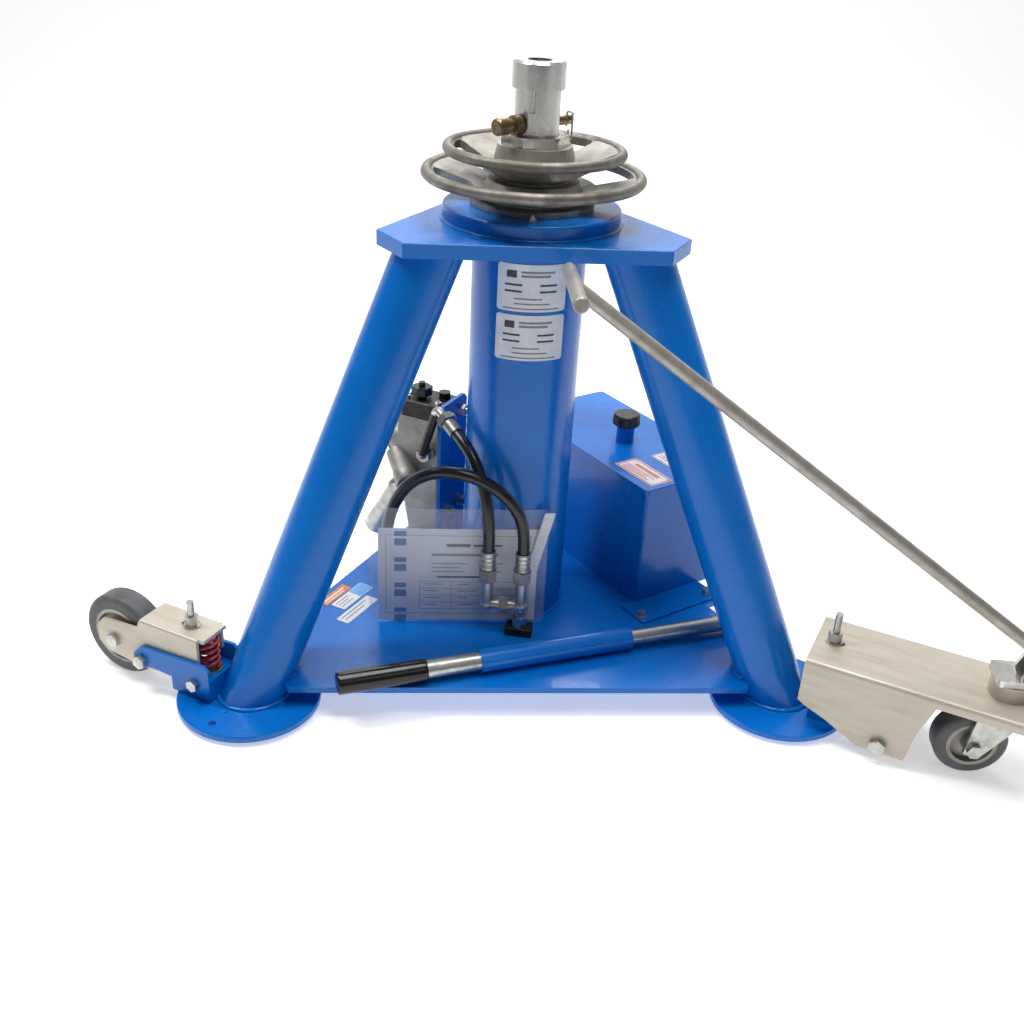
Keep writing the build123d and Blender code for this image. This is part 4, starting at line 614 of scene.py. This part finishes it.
def make_welds():
    """Fillet welds where the legs, column and collar meet the plates."""
    stretch = sqrt(1 + LEG_LEAN ** 2)
    for index, angle in enumerate(LEG_ANGLES):
        for place, z, radius, half_span in LEG_WELDS:
            centre = polar(LEG_FOOT_R - LEG_LEAN * z, angle, z)
            radii = (LEG_R * stretch + WELD_GAP, LEG_R + WELD_GAP)
            weld_bead(f"weld_{place}_{index}", centre, radii, angle, radius, half_span)
    column = (COLUMN_R + WELD_GAP, COLUMN_R + WELD_GAP)
    collar = (COLLAR_R + WELD_GAP, COLLAR_R + WELD_GAP)
    weld_bead("weld_column_foot", (0, 0, BASE_TOP), column, 0.0, 0.0036)
    weld_bead("weld_column_head", (0, 0, HEAD_LOW), column, 0.0, 0.0032)
    weld_bead("weld_collar", (0, 0, HEAD_TOP), collar, 0.0, 0.0032)


def turned_piece(name, at, axis, profile, sides, material="zinc_steel"):
    """A piece turned about an axis: profile is (radius, height) pairs from its foot."""
    data = bmesh.new()
    turn = Vector(axis).normalized().to_track_quat("Z", "Y").to_matrix()
    rows = []
    for radius, height in profile:
        row = []
        for k in range(sides):
            angle = 2 * pi * k / sides
            local = Vector((radius * cos(angle), radius * sin(angle), height))
            row.append(data.verts.new(Vector(at) + turn @ local))
        rows.append(row)
    for low, high in zip(rows, rows[1:]):
        for k in range(sides):
            data.faces.new((low[k], low[(k + 1) % sides], high[(k + 1) % sides], high[k]))
    data.faces.new(list(reversed(rows[0])))
    data.faces.new(rows[-1])
    link(mesh_object(name, data), "frame", material)


def make_small_fittings():
    """The collar's grease nipple and the crimp rings on the hoses' ferrules."""
    at = polar(0.1002, -64.0, COLLAR_TOP - 0.006)
    turned_piece("grease_nipple_base", at, (0, 0, 1), [
        (0.0048, 0), (0.0048, 0.0060), (0.0060, 0.0061), (0.0060, 0.0095), (0.0052, 0.0102)], 6)
    turned_piece("grease_nipple_tip", at + Vector((0, 0, 0.0100)), (0, 0, 1), [
        (0.0036, 0), (0.0030, 0.0022), (0.0022, 0.0030), (0.0029, 0.0040), (0.0024, 0.0055),
        (0.0012, 0.0062)], 24)
    for route in (PRESSURE_ROUTE, RETURN_ROUTE):
        end, after = Vector(route[0]), Vector(route[1])
        axis = (end - after).normalized()
        for k, offset in enumerate((0.003, 0.010, 0.017, 0.026)):
            name = f"crimp_{'pressure' if route is PRESSURE_ROUTE else 'return'}_{k}"
            turned_piece(name, end + axis * offset, axis, [
                (0.0109, 0), (0.0116, 0.0006), (0.0116, 0.0022), (0.0109, 0.0028)], 40)


def make_pump_housing():
    """The cast side housing of the pump, with its bored end, and the cap screws on the valve block."""
    turned_piece("pump_side_housing", (-0.2050, -0.0180, 0.2500), (0.67, -0.565, -0.48), [
        (0.0120, 0), (0.0172, 0.004), (0.0172, 0.040), (0.0186, 0.043), (0.0186, 0.060), (0.0170, 0.064),
        (0.0115, 0.064), (0.0108, 0.050)], 40, "cast_aluminium")
    low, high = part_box("pump_valve_block")
    for k, (across, along) in enumerate(((0.12, 0.12), (0.12, 0.88), (0.88, 0.12))):
        x, y = low.x + (high.x - low.x) * across, low.y + (high.y - low.y) * along
        turned_piece(f"valve_screw_{k}", (x, y, VALVE_BLOCK_TOP - 0.001), (0, 0, 1), [
            (0.0050, 0), (0.0050, 0.0056), (0.0044, 0.0062), (0.0026, 0.0062), (0.0024, 0.0038)], 24)


def make_spatter():
    """Little beads of weld spatter under the paint round the feet of the legs."""
    chance = random.Random(11)
    data = bmesh.new()
    for angle in LEG_ANGLES:
        middle = polar(LEG_FOOT_R - LEG_LEAN * PAD_TOP, angle, PAD_TOP)
        for _ in range(26):
            out = LEG_R * 1.12 + 0.003 + 0.022 * chance.random() ** 2
            at = middle + polar(out, chance.uniform(0.0, 360.0), 0.0)
            size = chance.uniform(0.0008, 0.0021)
            bead = bmesh.ops.create_icosphere(data, subdivisions=2, radius=size)["verts"]
            bmesh.ops.translate(data, verts=bead, vec=at)
    link(mesh_object("weld_spatter", data), "frame", "blue_paint")


def coil_mesh(name, foot, radius, rise):
    """A coil of round wire that climbs from the wire's middle at its foot, closed at both ends."""
    data = bmesh.new()
    rings = []
    steps = SPRING_STEPS * SPRING_COILS
    for k in range(steps + 1):
        turn = 2 * pi * SPRING_COILS * k / steps
        outward = Vector((cos(turn), sin(turn), 0.0))
        middle = foot + Vector((0.0, 0.0, rise * k / steps)) + outward * radius
        along = Vector((-sin(turn), cos(turn), rise / (2 * pi * SPRING_COILS * radius)))
        upward = along.normalized().cross(outward) * -1.0
        ring = []
        for j in range(SPRING_SIDES):
            angle = 2 * pi * j / SPRING_SIDES
            ring.append(data.verts.new(middle + (outward * cos(angle) + upward * sin(angle)) * SPRING_WIRE))
        rings.append(ring)
    for first, second in zip(rings, rings[1:]):
        for j in range(SPRING_SIDES):
            after = (j + 1) % SPRING_SIDES
            data.faces.new((first[j], first[after], second[after], second[j]))
    data.faces.new(rings[0][::-1])
    data.faces.new(rings[-1])
    bmesh.ops.recalc_face_normals(data, faces=data.faces)
    return mesh_object(name, data)


def make_springs():
    """The red caster springs, as coil meshes in place of the CAD springs."""
    for node, joint, keep in SPRINGS:
        low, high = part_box(node)
        centre = (low + high) / 2
        foot = Vector((centre.x, centre.y, low.z + SPRING_WIRE))
        radius = (high.x - low.x) / 2 - SPRING_WIRE
        rise = high.z - low.z - 2 * SPRING_WIRE
        spring = coil_mesh(node.replace("caster_spring", "spring_coil"), foot, radius, rise)
        link(spring, "frame", "red_paint")
        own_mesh(spring)
        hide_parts(node)


# ---------------------------------------------------------------- stage
def make_stage():
    """A plain pale floor that curves up behind the jack, and soft studio light."""
    data = bmesh.new()
    behind = Vector((-sin(radians(CAMERA_AZIMUTH)), cos(radians(CAMERA_AZIMUTH)), 0))
    beside = Vector((behind.y, -behind.x, 0))
    sweep = [(SWEEP_NEAR, 0.0), (SWEEP_START, 0.0)]
    for k in range(1, SWEEP_STEPS + 1):
        rise = pi / 2 * k / SWEEP_STEPS
        sweep.append((SWEEP_START + SWEEP_R * sin(rise), SWEEP_R * (1 - cos(rise))))
    sweep.append((SWEEP_START + SWEEP_R, SWEEP_WALL))
    rows = []
    for far, up in sweep:
        level = Vector((0, 0, FLOOR_Z - 0.0005 + up))
        middle = behind * far + level
        rows.append([data.verts.new(middle + beside * side) for side in (-SWEEP_HALF, SWEEP_HALF)])
    for near, far in zip(rows, rows[1:]):
        data.faces.new((near[0], near[1], far[1], far[0]))
    floor = mesh_object("floor", data)
    white = (1.0, 1.0, 1.0, 1.0)
    surface = Shader("floor_white", Roughness=0.8, Emission_Color=white, Emission_Strength=0.45)
    surface.drive("Base Color", surface.ramp(surface.noise(0.8, 2.0), [
        (0.3, (0.82, 0.82, 0.83)), (0.7, (0.86, 0.86, 0.87))]))
    floor.data.materials.append(surface.material)
    bpy.context.scene.collection.objects.link(floor)
    world = bpy.data.worlds.new("studio")
    world.use_nodes = True
    world.node_tree.nodes["Background"].inputs["Color"].default_value = (0.90, 0.94, 1.0, 1.0)
    world.node_tree.nodes["Background"].inputs["Strength"].default_value = 0.12
    bpy.context.scene.world = world
    for name, at, size, power in LAMPS:
        light = bpy.data.lights.new(name, "AREA")
        light.shape = "RECTANGLE"
        light.size, light.size_y = size
        light.energy = power
        lamp = bpy.data.objects.new(name, light)
        lamp.location = at
        lamp.rotation_euler = (Vector(LAMP_TARGET) - Vector(at)).to_track_quat("-Z", "Y").to_euler()
        bpy.context.scene.collection.objects.link(lamp)
    bpy.context.scene.view_settings.view_transform = "Standard"


make_camera()
make_paints()
make_metals()
make_rubbers()
make_prints()
make_hoses()
dress_nodes()
make_column_labels()
make_tank_labels()
make_base_stickers()
make_pouch()
make_welds()
make_small_fittings()
make_pump_housing()
make_spatter()
make_springs()
make_stage()
